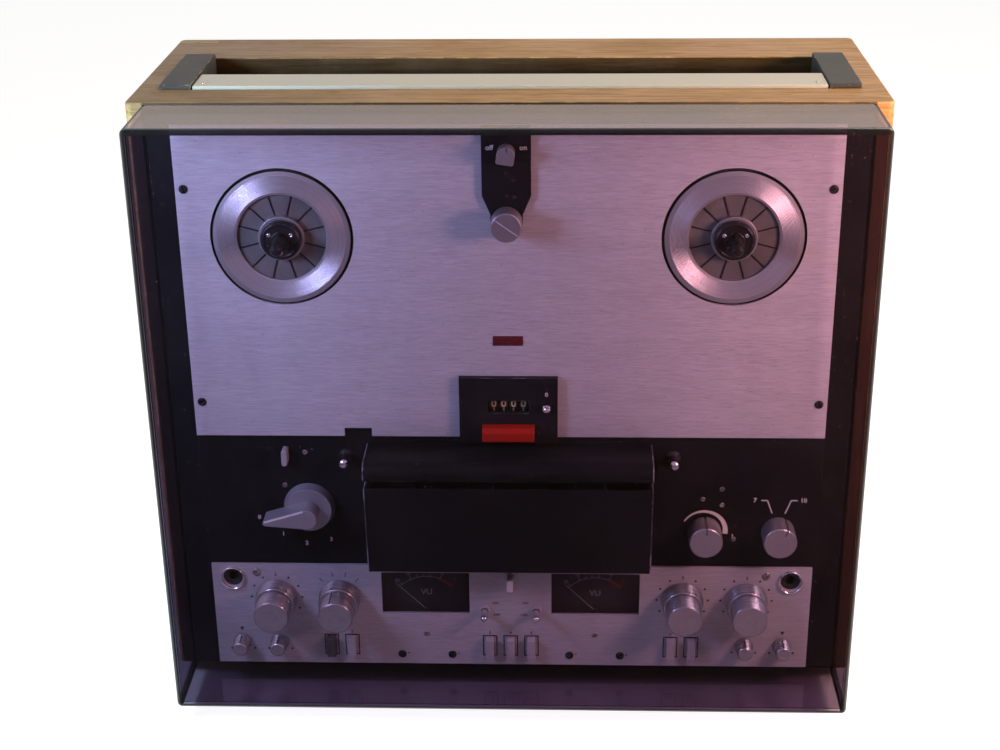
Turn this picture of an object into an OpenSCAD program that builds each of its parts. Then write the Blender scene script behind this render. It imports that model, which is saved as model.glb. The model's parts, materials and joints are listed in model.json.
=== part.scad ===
// Reel-to-reel tape recorder in a wooden cabinet with a clear dust cover.
// Millimetres, +Z up, front towards -Y, origin on the floor under the middle of the whole object.
// Heights on the front are measured from the cabinet's underside, depths from its front edges.

/* [Cabinet] */
// Width of the wooden cabinet
case_w = 489; // [440:1:540]
// Depth of the wooden cabinet
case_d = 182; // [164:1:220]
// Height of the wooden cabinet
case_h = 420; // [378:1:470]
// Thickness of the cabinet boards
board_t = 18; // [14:1:20]
// Glue line between two boards
glue_gap = 0.1; // [0.05:0.05:0.2]
// Height of a rubber foot
foot_h = 12; // [8:1:20]
// Radius of a rubber foot
foot_r = 13; // [10:1:18]
// How far a foot's centre lies in from the cabinet's sides, front and back
foot_inset = 30; // [22:1:60]

/* [Dust cover] */
// How far the clear cover's sides lie in from the cabinet's sides
cover_side = 10.5; // [8:0.5:14]
// How far the cover's upper edge lies below the cabinet's top
cover_head = 1; // [0:0.5:2]
// Height of the cover's lower edge above the cabinet's underside
cover_lift = 1; // [0.5:0.5:2]
// Depth of the clear cover
cover_d = 60; // [54:1:90]
// Wall of the clear cover
cover_t = 3; // [2:0.5:4]
// Gap between the cover and the flange that carries it
cover_fit = 0.4; // [0.3:0.1:0.8]

/* [Carrying handle] */
// How far the ends of the handle slot lie in from the cabinet's sides
slot_side = 33.5; // [28:0.5:50]
// Width of the handle slot, front to back
slot_w = 89; // [70:1:100]
// Distance from the cabinet's front to the handle slot
slot_front = 34; // [30:1:45]
// Width of the handle bar, front to back
bar_w = 32; // [24:1:36]
// Sheet thickness of the handle bar
bar_t = 3; // [2:0.5:4]
// Depth of the handle bar's turned-down edges
bar_lip = 12; // [8:1:14]
// How far the handle slides up
handle_rise = 30; // [15:1:36]
// Flange width of a handle bracket
bracket_w = 18; // [14:1:20]
// Sheet thickness of a handle bracket
bracket_t = 3; // [2:0.5:4]

/* [Deck] */
// How far the raised black deck's sides lie in from the cabinet's sides
deck_side = 32; // [26:0.5:40]
// Height of the deck's lower edge above the cabinet's underside
deck_bottom = 11; // [8:0.5:13]
// How far the deck's upper edge lies below the cabinet's top
deck_head = 10; // [8:0.5:14]
// How far the plates on the deck stand in front of the cabinet
deck_rise = 17; // [14:1:19]
// Sheet thickness of the deck
deck_t = 3; // [2:0.5:4]
// Thickness of the flange that carries the dust cover
flange_t = 4; // [3:0.5:6]
// Thickness of the two bright plates on the deck
plate_t = 2; // [1.5:0.5:3]
// Gap between the head cover and the upper bright plate
trim_gap = 6; // [3:0.5:10]
// Width of the small notch in the upper plate's lower edge
notch_w = 18.7; // [12:0.1:24]
// Depth of that notch
notch_d = 6; // [3:0.5:10]
// How far the control panel's ends lie in from the deck's sides
panel_side = 2; // [1:0.5:4]
// How far the control panel's lower edge lies above the deck's
panel_foot = 1; // [0.5:0.5:3]
// Height of the lower control panel
panel_h = 81; // [74:1:90]

/* [Turntables] */
// How far a turntable's axis lies in from the deck's side
hub_in = 66.9; // [60:0.1:74]
// How far the turntables' axes lie below the deck's upper edge
hub_drop = 74.5; // [66:0.5:84]
// Radius of a turntable
platter_r = 44.9; // [40:0.1:49]
// Running gap round a turntable
platter_gap = 1.6; // [1:0.1:3]
// How far a turntable stands out of the plate
platter_out = 1.2; // [0.6:0.1:3]
// Thickness of a turntable
platter_t = 8; // [6:0.5:10]
// Radius of a turntable's sunk inner ring
ring_r = 29; // [26:0.5:34]
// Depth of the sunk ring
ring_sink = 2.5; // [1.5:0.5:4]
// Number of ribs across the sunk ring
rib_n = 12; // [6:1:18]
// Radius of the bright collar
collar_r = 15; // [14:0.5:18]
// Radius of the black centre cap
cap_r = 13; // [11:0.5:14]
// Radius of the reel spindle
spindle_r = 3.9; // [3.7:0.1:4]
// How far the spindle stands out of the plate
spindle_out = 28; // [24:1:34]

/* [Centre fittings] */
// Width of the switch plate
switch_plate_w = 31.5; // [26:0.5:40]
// Length over which the switch plate keeps its full width
switch_plate_l = 45.5; // [40:0.5:48]
// Thickness of the switch plate
switch_plate_t = 3; // [2:0.5:5]
// How far the power knob lies below the deck's upper edge
power_drop = 16.5; // [14:0.5:20]
// Radius of the power knob
power_r = 6.2; // [5:0.1:8]
// How far the power knob stands out of the switch plate
power_l = 11; // [8:0.5:14]
// How far the spooling knob lies below the deck's upper edge
spool_drop = 62; // [56:0.5:68]
// Radius of the spooling knob
spool_r = 10; // [8:0.5:12]
// How far the spooling knob stands out
spool_out = 18; // [14:1:24]
// Gap between the counter housing and the pilot lamp
pilot_gap = 21.7; // [15:0.1:30]
// Width of the pilot lamp
pilot_w = 20; // [14:0.5:26]
// Height of the pilot lamp
pilot_ht = 7; // [5:0.5:10]
// Width of the counter housing
counter_w = 66; // [59:1:74]
// How far the counter housing reaches below the upper plate
counter_drop = 3; // [2.5:0.5:4]
// Height of the counter housing
counter_ht = 48; // [43:1:54]
// How far the counter housing stands out
counter_out = 4; // [3:0.5:6]
// How far the digits lie above the counter housing's lower edge
digit_up = 26.8; // [24:0.1:30]
// Radius of a digit wheel
wheel_r = 9; // [8:0.5:10]
// Width of a digit wheel
wheel_w = 5.6; // [5:0.1:6.2]
// Number of digit wheels
wheel_n = 4; // [3:1:4]
// How far the reset button lies in from the counter housing's side
reset_in = 7.5; // [6:0.5:9]
// How far the reset button lies above the counter housing's lower edge
reset_up = 27.5; // [24:0.5:31]
// Radius of the reset button
reset_r = 2.8; // [2:0.1:3.5]
// How far the reset button stands out of the counter housing
reset_out = 5; // [4:0.5:7]
// How far the record button's middle lies above the counter housing's lower edge
record_up = 9.5; // [8:0.5:11]
// Width of the record button
record_w = 35; // [28:0.5:40]
// Height of the record button
record_ht = 9; // [7:0.5:10]
// How far the record button stands out of the counter housing
record_out = 9; // [6:0.5:12]

/* [Tape path] */
// How far the head cover's sides lie in from the deck's sides
head_side = 115.5; // [104:0.5:126]
// Gap between the control panel and the head cover
head_gap = 7.7; // [5:0.1:10]
// Height of the head cover
head_ht = 86.8; // [78:0.1:96]
// How far the head cover stands out at its upper edge
head_out_top = 33; // [30:1:35]
// How far the head cover stands out at its lower edge
head_out_low = 23; // [20:1:26]
// Radius of the head cover's upper front edge
head_round = 8; // [6:0.5:9]
// Wall of the head cover
head_t = 3; // [2:0.5:4]
// How far the tape's line lies below the head cover's top
tape_drop = 15.4; // [14:0.1:17]
// Opening of the tape slot
tape_slot = 6; // [5:0.5:7]
// Radius of the capstan
capstan_r = 3; // [2.5:0.1:3.5]
// How far the capstan lies in from the head cover's side
capstan_in = 39; // [35:0.5:43]
// Radius of the pinch roller
roller_r = 11; // [9:0.5:12]
// How far the pinch roller rests below the capstan
roller_gap = 3.8; // [3:0.1:6]
// Length of the pinch roller
roller_l = 13; // [11:0.5:15]
// Distance of a tape guide from the head cover's side
guide_gap = 14.5; // [12:0.5:18]
// How far the tape guides lie below the head cover's top
guide_drop = 9.5; // [7:0.5:13]
// Radius of a tape guide
guide_r = 3.7; // [3:0.1:5]
// Length of a tape guide
guide_l = 16; // [14:0.5:20]

/* [Deck controls] */
// How far the tape-function knob's axis lies in from the deck's left side
function_in = 74; // [67:0.5:82]
// How far the function knob's axis lies below the head cover's top
function_drop = 48.5; // [44:0.5:53]
// Radius of the function knob's skirt
function_r = 18; // [15:0.5:20]
// Length of the function knob's pointer from its axis
function_arm = 33; // [28:1:38]
// How far the function knob stands out
function_out = 20; // [16:1:26]
// How far the lock-release button lies in from the deck's left side
lock_in = 59.5; // [53:0.5:66]
// How far the lock-release button lies below the head cover's top
lock_drop = 9; // [7:0.5:11]
// Width of the lock-release button
lock_w = 4; // [3:0.5:6]
// Height of the lock-release button
lock_ht = 11.5; // [9:0.5:14]
// How far the lock-release button stands out
lock_out = 6; // [4:0.5:9]
// How far the speed knob's axis lies in from the deck's right side
speed_in = 78; // [70:0.5:86]
// How far the reel-size knob's axis lies in from the deck's right side
reel_size_in = 27.5; // [24:0.5:31]
// Height of the speed and reel-size knobs above the control panel
selector_up = 28; // [25:0.5:31]
// Radius of the speed and reel-size knobs
selector_r = 11.5; // [9:0.5:13]
// How far the speed and reel-size knobs stand out
selector_out = 16; // [12:1:22]

/* [Panel controls] */
// How far the outer large knobs' axes lie in from the panel's ends
big_in = 44.8; // [40:0.1:50]
// How far the large knobs' axes lie below the panel's upper edge
big_drop = 26.5; // [24:0.5:29]
// Radius of a large knob's rear tier
big_r = 14.8; // [13:0.1:16.4]
// Radius of a large knob's front tier
big_front_r = 12.4; // [10:0.1:12.9]
// Length of a large knob's rear tier
big_rear_l = 13; // [10:0.5:16]
// How far a large knob stands out
big_out = 29; // [26:0.5:32]
// How far the outer tone knobs' axes lie in from the panel's ends
tone_in = 18; // [16:0.5:20]
// Height of the tone knobs above the panel's lower edge
tone_up = 18; // [16:0.5:20]
// Radius of a tone knob
tone_r = 6.5; // [5.5:0.1:8]
// How far a tone knob stands out
tone_out = 13; // [10:0.5:18]
// Distance between neighbouring push-buttons
button_pitch = 14.75; // [13:0.05:16.5]
// Height of the push-buttons above the panel's lower edge
button_up = 15.8; // [14:0.2:17]
// Width of a push-button
button_w = 6; // [4.5:0.5:7]
// Height of a push-button
button_ht = 15; // [12:0.5:17]
// How far a push-button travels
button_travel = 3.5; // [2:0.5:4.5]
// How far a pressed push-button still stands out
button_proud = 2.5; // [1.5:0.5:5]
// Distance of a toggle switch from the nearer meter window
toggle_gap = 10.7; // [9.5:0.1:12]
// How far the toggle switches lie below the panel's upper edge
toggle_drop = 35.5; // [32:0.5:39]
// How far the track lever lies below the panel's upper edge
lever_drop = 7; // [6:0.5:9]
// Length of a toggle or lever in front of its pivot
lever_l = 13; // [10:0.5:18]
// How far the sockets on the panel lie in from its ends
jack_in = 14.5; // [13:0.5:16]
// How far the sockets lie below the panel's upper edge
jack_drop = 11; // [10:0.5:13]
// Radius of a socket's bright ring
jack_r = 9; // [8:0.5:9.5]
// Bore radius of a socket for a quarter-inch plug
jack_bore_r = 3.25; // [3.2:0.01:3.3]
// Length of a socket behind the panel
jack_l = 28; // [25:1:32]
// Distance of a meter from the middle
meter_x = 59.9; // [54:0.1:66]
// How far a meter's middle lies below the panel's upper edge
meter_drop = 22.4; // [21:0.1:24.5]
// Width of a meter's window
meter_w = 62; // [56:0.5:68]
// Height of a meter's window
meter_ht = 33; // [30:0.5:36]

/* [Inner works] */
// Sheet thickness of the chassis
chassis_t = 3; // [2:0.5:4]
// Depth of the chassis plate behind the cabinet's front
chassis_back = 20; // [18:1:22]
// How far the chassis plate ends below the cabinet's top
chassis_head = 32; // [29:1:36]
// Radius of a motor
motor_r = 42; // [36:1:46]
// Length of a motor
motor_l = 62; // [50:1:68]
// Radius of a spooling motor's shaft
shaft_r = 5; // [4.5:0.1:6]
// Radius of a loudspeaker
speaker_r = 60; // [50:1:66]
// How far the loudspeakers lie below the cabinet's top
speaker_drop = 155; // [140:1:170]
// Thickness of the rear panel
rear_t = 2; // [1.5:0.5:3]
// How far the rear panel is set in from the cabinet's back
rear_inset = 12; // [11:1:16]

/* [Hidden] */
$fn = 48;

// Running clearance round shafts and buttons, and between sliding flat faces
gap = 0.3;
// Overlap that lets a cutter pass clean through a face
cut = 1;
// Smallest visible step between a knob and what it turns on
knob_clear = 0.6;
// Slack of the deck's openings round what the bright plates carry
window_slack = 2;

// Cabinet, cover and handle slot
inner_half_w = case_w / 2 - board_t;
case_top = foot_h + case_h;
face_y = (cover_d - case_d) / 2;
back_y = face_y + case_d;
rear_y = back_y - rear_inset;
foot_taper = 2;
cover_w = case_w - 2 * cover_side;
cover_h = case_h - cover_lift - cover_head;
slot_l = case_w - 2 * slot_side;

// Carrying handle: the bar's lugs slide between ribs on the brackets
bar_front = slot_front + 1.5;
bar_half_l = slot_l / 2 - bracket_t - 2 * gap;
bar_out = 2;
lug_w = bar_w - 11;
lug_foot = 4;
rib_l = 14;
rib_t = 3;
rib_reach = 6;
rib_drop = bar_lip + 4;
bracket_tail = 2;
lug_drop = bar_out + rib_drop + rib_l + handle_rise + bar_t + gap;

// Deck, control panel and upper plate
panel_y = face_y - deck_rise;
deck_half = case_w / 2 - deck_side;
deck_w = 2 * deck_half;
deck_h = case_h - deck_bottom - deck_head;
deck_top = deck_bottom + deck_h;
deck_back = plate_t + deck_t;
panel_half = deck_half - panel_side;
panel_bottom = deck_bottom + panel_foot;
panel_top = panel_bottom + panel_h;

// Head cover and tape path
head_half_w = deck_half - head_side;
head_bottom = panel_top + head_gap;
head_top = head_bottom + head_ht;
tape_h = head_top - tape_drop;
head_low_h = tape_h - tape_slot / 2;
capstan_x = head_half_w - capstan_in;
capstan_h = tape_h + capstan_r;
capstan_out = 20;
head_n = 3;
head_first = head_t - head_half_w;
head_x = [for (i = [1:head_n]) head_first + i * (capstan_x - head_first) / (head_n + 1)];
head_block = [16, 21, 20];
guide_x = head_half_w + guide_gap;
guide_h = head_top - guide_drop;
guide_foot_l = 6;
guide_foot_w = 1.3;
roller_x = capstan_x - capstan_r;
roller_h = tape_h - roller_r - roller_gap;
roller_pin_r = 2.5;
arm_pivot = [roller_x + 25, roller_h - 19.5];
arm_w = 8;
arm_t = 3;
arm_shaft_l = 4;

// Upper plate and what it carries
trim_bottom = head_top + trim_gap;
hub_x = deck_half - hub_in;
hub_h = deck_top - hub_drop;
collar_out = 1.5;
cap_l = 5;
spindle_key = [2.4, 1.8, 6];
spindle_root = 0.6;
platter_rib_w = 1.2;
power_h = deck_top - power_drop;
spool_h = deck_top - spool_drop;
switch_plate_bend = deck_top - switch_plate_l;
neck_r = spool_r + 0.4;
neck_l = 4;
counter_bottom = trim_bottom - counter_drop;
counter_cut_in = 2.5;
digit_h = counter_bottom + digit_up;
wheel_axis_in = wheel_r + 1.5;
wheel_pitch = wheel_w + 1;
wheel_shaft_r = 2;
wheel_row = wheel_n * wheel_pitch;
cheek_t = 2.5;
cheek_half = 4;
axle_end = 1.5;
reset_at = [counter_w / 2 - reset_in, counter_bottom + reset_up];
reset_stop = 1.5;
record_h = counter_bottom + record_up;
record_bevel = 2.5;
pilot_h = counter_bottom + counter_ht + pilot_gap + pilot_ht / 2;
pilot_out = 0.6;

// Controls on the deck
function_at = [-deck_half + function_in, head_top - function_drop];
function_skirt = 7;
function_taper = 2;
function_nose_r = 3;
function_heel_r = 9;
lock_at = [-deck_half + lock_in, head_top - lock_drop];
lock_in_l = 5;
speed_x = deck_half - speed_in;
reel_size_x = deck_half - reel_size_in;
selector_h = panel_top + selector_up;

// Controls on the panel: the inner large knob lies halfway between the meter and the outer one
meter_h = panel_top - meter_drop;
meter_edge = meter_x + meter_w / 2;
big_outer_x = panel_half - big_in;
big_x = [(meter_edge + big_outer_x - big_r) / 2, big_outer_x];
big_h = panel_top - big_drop;
big_taper = 1;
tone_x = [big_outer_x, panel_half - tone_in];
tone_h = panel_bottom + tone_up;
pair_x = [big_x[0] - button_pitch / 2, big_x[0] + button_pitch / 2];
button_x = [-pair_x[1], -pair_x[0], -button_pitch, 0, button_pitch, pair_x[0], pair_x[1]];
button_h = panel_bottom + button_up;
button_out = button_travel + button_proud;
button_stop = [1.2, 2];
toggle_x = meter_x - meter_w / 2 - toggle_gap;
toggle_h = panel_top - toggle_drop;
lever_h = panel_top - lever_drop;
jack_x = panel_half - jack_in;
jack_h = panel_top - jack_drop;
jack_ring = 2;

// Shafts, switch bushes and meters
pot_r = 3;
pot_hole_r = pot_r + gap;
tone_shaft_r = 2.5;
inner_shaft_r = 1.6;
inner_shaft_more = 3;
// Depth behind the panel to which knob shafts reach
shaft_depth = 9;
bush_r = 4;
bush_out = 2.5;
toggle_r = 1.6;
toggle_taper = 0.4;
toggle_ball_r = 2.4;
toggle_pin_r = 0.8;
lever_ball_out = 0.4;
meter_case_wall = 2;
meter_case_l = 24;
meter_dial_in = 7;
needle_l = 31;
needle_w = 0.8;
needle_up = 1.4;
needle_boss = [2, 3];
needle_pivot_drop = meter_ht / 2 + 1;

// Angles at rest, anticlockwise: the function knob's from the right, the others from upright
needle_rest = 45;
function_rest = 186;
power_turn = -9;
reel_size_turn = -25;
equaliser_turn = 18;

// Screws
screw_r = 3;
screw_head = 1;
screw_shank_r = 1.5;
screw_slot = [0.8, 0.5];
trim_screw_x = deck_half - deck_t - 2.5;
trim_screw_h = [trim_bottom + 25, deck_top - 42];
trim_screw_at = [for (side = [-1, 1], h = trim_screw_h) [side * trim_screw_x, h]];
panel_screw_in = 18;
panel_screw_h = panel_bottom + 8;
panel_screw_at = [for (side = [-1, 1], x = [-panel_screw_in, panel_screw_in])
    [side * meter_x + x, panel_screw_h]];
side_screw_x = jack_x - 17.2;
side_screw_h = panel_top - 6.5;
side_screw_at = [for (side = [-1, 1]) [side * side_screw_x, side_screw_h]];
rear_screw_in = 9;
rear_screw_h = [board_t + rear_screw_in, case_h - board_t - rear_screw_in];
rear_screw_at = [for (side = [-1, 0, 1], h = rear_screw_h) [side * (inner_half_w - rear_screw_in), h]];

// Chassis, motors and what stands on the chassis shelf
chassis_y = face_y + chassis_back;
chassis_half_w = bar_half_l - bar_t - 4.4;
chassis_top = case_h - chassis_head;
shelf_z = foot_h + board_t + chassis_t;
shelf_end = 6;
motor_y = chassis_y + chassis_t;
motor_boss_l = 6;
motor_bore_l = 24;
// How far behind the panel the shafts in the motors reach, just short of the end of their bores
motor_reach = deck_rise + chassis_back + chassis_t + motor_bore_l - 2;
// Place and shaft radius of each motor
motor_at = [[-hub_x, hub_h, shaft_r], [hub_x, hub_h, shaft_r], [capstan_x, capstan_h, capstan_r]];
pillar_r = 5;
pillar_in = 8;
pillar_h = [selector_h + 29, chassis_top - 12];
transformer_size = [86, 66, 74];
winding_size = [60, 90, 52];
winding_up = 11;
transformer_in = 22;
transformer_clear = 9;
circuit_n = 3;
circuit_size = [150, 1.6, 96];
circuit_x = 10;
circuit_front = 14;
circuit_pitch = 32;
part_n = 5;
part_size = [16, 9, 14];
part_first = [10, 20];
part_pitch = 28;
part_step = 12;
speaker_h = case_h - speaker_drop;
speaker_rim_t = 4;
speaker_cone_l = 24;
speaker_magnet_l = 16;

// Rear panel and its sockets
rear_edge = 0.4;
socket_in = 14;
socket_h = 62;
phono_n = 8;
phono_pitch = 26;
phono_x = [for (i = [0:phono_n - 1]) phono_pitch * i - chassis_half_w + 32];
phono_r = 4.2;
phono_bore_r = 1.7;
phono_out = 8;
phono_flange = [6.7, 2];
rear_jack_x = [62, 88];
rear_jack_r = jack_bore_r + 2.5;
rear_jack_out = 4;
rear_jack_nut = [jack_bore_r + 5, 2.5];
inlet_at = [160, 64];
inlet_size = [30, 24];
inlet_wall = 3;
inlet_floor = 2;
vent_n = 11;
vent_pitch = 20;
vent_h = case_h - 80;
vent_size = [6, 50];
sound_pitch = 14;
sound_slot_w = 5;
sound_r = speaker_r - 12;
sound_n = floor((sound_r - sound_slot_w) / sound_pitch);

// Moves a child from panel axes, where z points out of the panel, to its place on the front
module front(x, h, out = 0) {
    translate([x, panel_y - out, foot_h + h])
        rotate([90, 0, 0])
            children();
}

// A flat sheet on the front, its front face behind the bright plates by the given depth
module sheet(t, behind = 0) {
    front(0, 0, -behind - t)
        linear_extrude(t)
            children();
}

// A rectangle by its middle
module rect_at(x, h, w, ht) {
    translate([x - w / 2, h - ht / 2])
        square([w, ht]);
}

// Round holes at a list of places
module holes_at(places, r) {
    for (p = places)
        translate(p)
            circle(r);
}

// A box in room axes between two corners, whatever their order
module box_between(a, b) {
    translate([min(a[0], b[0]), min(a[1], b[1]), min(a[2], b[2])])
        cube([abs(b[0] - a[0]), abs(b[1] - a[1]), abs(b[2] - a[2])]);
}

module cabinet_boards() {
    half = case_w / 2;
    color("peru") {
        difference() {
            box_between([-half, face_y, case_top - board_t], [half, back_y, case_top]);
            translate([-slot_l / 2, face_y + slot_front, case_top - board_t - cut])
                cube([slot_l, slot_w, board_t + 2 * cut]);
        }
        box_between([-half, face_y, foot_h], [half, back_y, foot_h + board_t]);
        for (side = [-1, 1])
            box_between([side * half, face_y, foot_h + board_t + glue_gap],
                [side * inner_half_w, back_y, case_top - board_t - glue_gap]);
    }
}

module feet() {
    color("#222222")
        for (x = [-1, 1], y = [face_y + foot_inset, back_y - foot_inset])
            translate([x * (case_w / 2 - foot_inset), y, 0])
                cylinder(h = foot_h, r1 = foot_r - foot_taper, r2 = foot_r);
}

// A flat sheet at the back, its rear face at the given depth
module rear_sheet(t, y) {
    translate([0, y, foot_h])
        rotate([90, 0, 0])
            linear_extrude(t)
                children();
}

module rear_panel() {
    half = inner_half_w - rear_edge;
    color("#333333")
        rear_sheet(rear_t, rear_y)
            difference() {
                translate([-half, board_t + rear_edge])
                    square([2 * half, case_h - 2 * board_t - 2 * rear_edge]);
                holes_at([for (x = phono_x) [x, socket_h]], phono_r + rear_edge);
                holes_at([for (x = rear_jack_x) [x, socket_h]], rear_jack_r + rear_edge);
                rect_at(inlet_at[0], inlet_at[1], inlet_size[0] + 2 * rear_edge,
                    inlet_size[1] + 2 * rear_edge);
                for (i = [0:vent_n - 1])
                    rect_at((i - (vent_n - 1) / 2) * vent_pitch, vent_h, vent_size[0], vent_size[1]);
                for (side = [-1, 1], i = [-sound_n:sound_n])
                    rect_at(side * hub_x + i * sound_pitch, speaker_h, sound_slot_w,
                        2 * sqrt(pow(sound_r, 2) - pow(i * sound_pitch, 2)));
                holes_at(rear_screw_at, screw_shank_r + gap);
            }
}

// Round socket through the rear panel; flange is the radius and thickness of its collar
module rear_socket(x, r, out, flange, bore_r, bore_l) {
    translate([x, rear_y + out, foot_h + socket_h])
        rotate([90, 0, 0])
            difference() {
                union() {
                    cylinder(h = out + socket_in, r = r);
                    translate([0, 0, out - flange[1]])
                        cylinder(h = flange[1], r = flange[0]);
                }
                translate([0, 0, -cut])
                    cylinder(h = bore_l + cut, r = bore_r);
            }
}

// Mains inlet: a box with a flange, open to the back
module mains_inlet() {
    low = [-inlet_size[0] / 2, -socket_in, -inlet_size[1] / 2];
    rim = [inlet_wall, 0, inlet_wall];
    translate([inlet_at[0], rear_y, foot_h + inlet_at[1]])
        difference() {
            union() {
                translate(low)
                    cube([inlet_size[0], socket_in + inlet_wall, inlet_size[1]]);
                translate([low[0], 0, low[2]] - rim)
                    cube([inlet_size[0], inlet_wall, inlet_size[1]] + 2 * rim);
            }
            translate(low + rim + [0, inlet_floor, 0])
                cube([inlet_size[0], socket_in + inlet_wall, inlet_size[1]] - 2 * rim);
        }
}

module rear_sockets() {
    color("silver") {
        for (x = phono_x)
            rear_socket(x, phono_r, phono_out, phono_flange, phono_bore_r, phono_out);
        for (x = rear_jack_x)
            rear_socket(x, rear_jack_r, rear_jack_out, rear_jack_nut, jack_bore_r,
                rear_jack_out + socket_in + cut);
    }
    color("#1a1a1a")
        mains_inlet();
}

// One handle bracket for the right end; the left one is its mirror image
module handle_bracket() {
    wall_x = slot_l / 2;
    y0 = face_y + slot_front;
    lug_y = face_y + bar_front + (bar_w - lug_w) / 2;
    y1 = y0 + slot_w;
    box_between([wall_x - bracket_t, y0 + gap, case_top],
        [wall_x + bracket_w, y1 - gap, case_top + bracket_t]);
    box_between([wall_x - bracket_t, y0 + gap, case_top - rib_drop - rib_l - bracket_tail],
        [wall_x - gap, y1 - gap, case_top]);
    for (y = [lug_y - gap - rib_t, lug_y + lug_w + gap])
        box_between([wall_x - bracket_t - rib_reach, y, case_top - rib_drop - rib_l],
            [wall_x - bracket_t, y + rib_t, case_top - rib_drop]);
}

module handle_brackets() {
    color("#2b2b2b") {
        handle_bracket();
        mirror([1, 0, 0])
            handle_bracket();
    }
}

module handle_bar() {
    y0 = face_y + bar_front;
    top = case_top + bar_out;
    lug_y = y0 + (bar_w - lug_w) / 2;
    color("#c8c4bc") {
        box_between([-bar_half_l, y0, top - bar_t], [bar_half_l, y0 + bar_w, top]);
        for (y = [y0, y0 + bar_w - bar_t])
            box_between([-bar_half_l, y, top - bar_lip], [bar_half_l, y + bar_t, top - bar_t]);
        for (side = [-1, 1]) {
            box_between([side * bar_half_l, lug_y, top - lug_drop],
                [side * (bar_half_l - bar_t), lug_y + lug_w, top - bar_t]);
            box_between([side * bar_half_l, lug_y - lug_foot, top - lug_drop],
                [side * (bar_half_l - bar_t), lug_y + lug_w + lug_foot, top - lug_drop + bar_t]);
        }
    }
}

module dust_cover() {
    z0 = foot_h + cover_lift;
    half = cover_w / 2;
    y0 = face_y - cover_d;
    color("#5a4860", 0.5)
        difference() {
            box_between([-half, y0, z0], [half, face_y - glue_gap, z0 + cover_h]);
            box_between([-half + cover_t, y0 + cover_t, z0 + cover_t],
                [half - cover_t, face_y + cut, z0 + cover_h - cover_t]);
        }
}

// Outline of the counter's opening through the bright plate and the deck
module counter_opening() {
    translate([-counter_w / 2 + counter_cut_in, counter_bottom + counter_cut_in])
        square([counter_w - 2 * counter_cut_in, counter_ht - 2 * counter_cut_in]);
}

module deck_plate() {
    flange_half = cover_w / 2 - cover_t - cover_fit;
    flange_low = cover_lift + cover_t + cover_fit;
    flange_ht = cover_h - 2 * cover_t - 2 * cover_fit;
    skirt_t = deck_rise - plate_t - flange_t;
    color("#1c1c1f") {
        sheet(deck_t, plate_t)
            difference() {
                translate([-deck_w / 2, deck_bottom])
                    square([deck_w, deck_h]);
                holes_at([for (x = [-1, 1]) [x * hub_x, hub_h]], platter_r + platter_gap);
                counter_opening();
                holes_at([[0, power_h], [0, spool_h], function_at, [speed_x, selector_h],
                    [reel_size_x, selector_h]], pot_hole_r);
                rect_at(0, pilot_h, pilot_w, pilot_ht);
                rect_at(lock_at[0], lock_at[1], lock_w + 2 * gap, lock_ht + 2 * gap);
                translate([capstan_x, capstan_h])
                    circle(capstan_r + gap);
                translate(arm_pivot)
                    circle(pot_hole_r);
                holes_at(trim_screw_at, screw_shank_r + gap);
                holes_at(panel_screw_at, screw_shank_r + gap);
                holes_at(side_screw_at, screw_shank_r + gap);
                for (side = [-1, 1]) {
                    holes_at([for (x = big_x) [side * x, big_h]], pot_hole_r + window_slack);
                    holes_at([for (x = tone_x) [side * x, tone_h]], tone_shaft_r + gap + window_slack);
                    translate([side * toggle_x, toggle_h])
                        circle(toggle_ball_r + window_slack);
                    translate([side * jack_x, jack_h])
                        circle(jack_r - window_slack + gap);
                    rect_at(side * meter_x, meter_h - meter_case_wall,
                        meter_w + 4 * meter_case_wall + 2 * gap, meter_ht + 6 * meter_case_wall + 2 * gap);
                }
                translate([0, lever_h])
                    circle(toggle_ball_r + window_slack);
                for (x = button_x)
                    rect_at(x, button_h, button_w + 2 * window_slack, button_ht + 2 * window_slack);
            }
        sheet(skirt_t, plate_t)
            difference() {
                translate([-deck_w / 2, deck_bottom])
                    square([deck_w, deck_h]);
                translate([-deck_w / 2 + deck_t, deck_bottom + deck_t])
                    square([deck_w - 2 * deck_t, deck_h - 2 * deck_t]);
            }
        sheet(flange_t, deck_rise - flange_t)
            difference() {
                translate([-flange_half, flange_low])
                    square([2 * flange_half, flange_ht]);
                translate([-deck_w / 2 + deck_t, deck_bottom + deck_t])
                    square([deck_w - 2 * deck_t, deck_h - 2 * deck_t]);
            }
    }
}

module trim_plate() {
    color("#c9c5c8")
        sheet(plate_t)
            difference() {
                translate([-deck_w / 2, trim_bottom])
                    square([deck_w, deck_top - trim_bottom]);
                holes_at([for (x = [-1, 1]) [x * hub_x, hub_h]], platter_r + platter_gap);
                counter_opening();
                holes_at([[0, power_h], [0, spool_h]], pot_hole_r);
                rect_at(0, pilot_h, pilot_w, pilot_ht);
                translate([-guide_x, trim_bottom - cut])
                    square([notch_w, notch_d + cut]);
                holes_at(trim_screw_at, screw_shank_r + gap);
            }
}

module centre_escutcheons() {
    color("#1b1b1d") {
        front(0, 0)
            linear_extrude(switch_plate_t)
                difference() {
                    union() {
                        polygon([[-switch_plate_w / 2, deck_top], [-switch_plate_w / 2, switch_plate_bend],
                            [-neck_r, spool_h + neck_l], [-neck_r, spool_h], [neck_r, spool_h],
                            [neck_r, spool_h + neck_l], [switch_plate_w / 2, switch_plate_bend],
                            [switch_plate_w / 2, deck_top]]);
                        translate([0, spool_h])
                            circle(neck_r);
                    }
                    holes_at([[0, power_h], [0, spool_h]], pot_hole_r);
                }
        counter_housing();
    }
}

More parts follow.
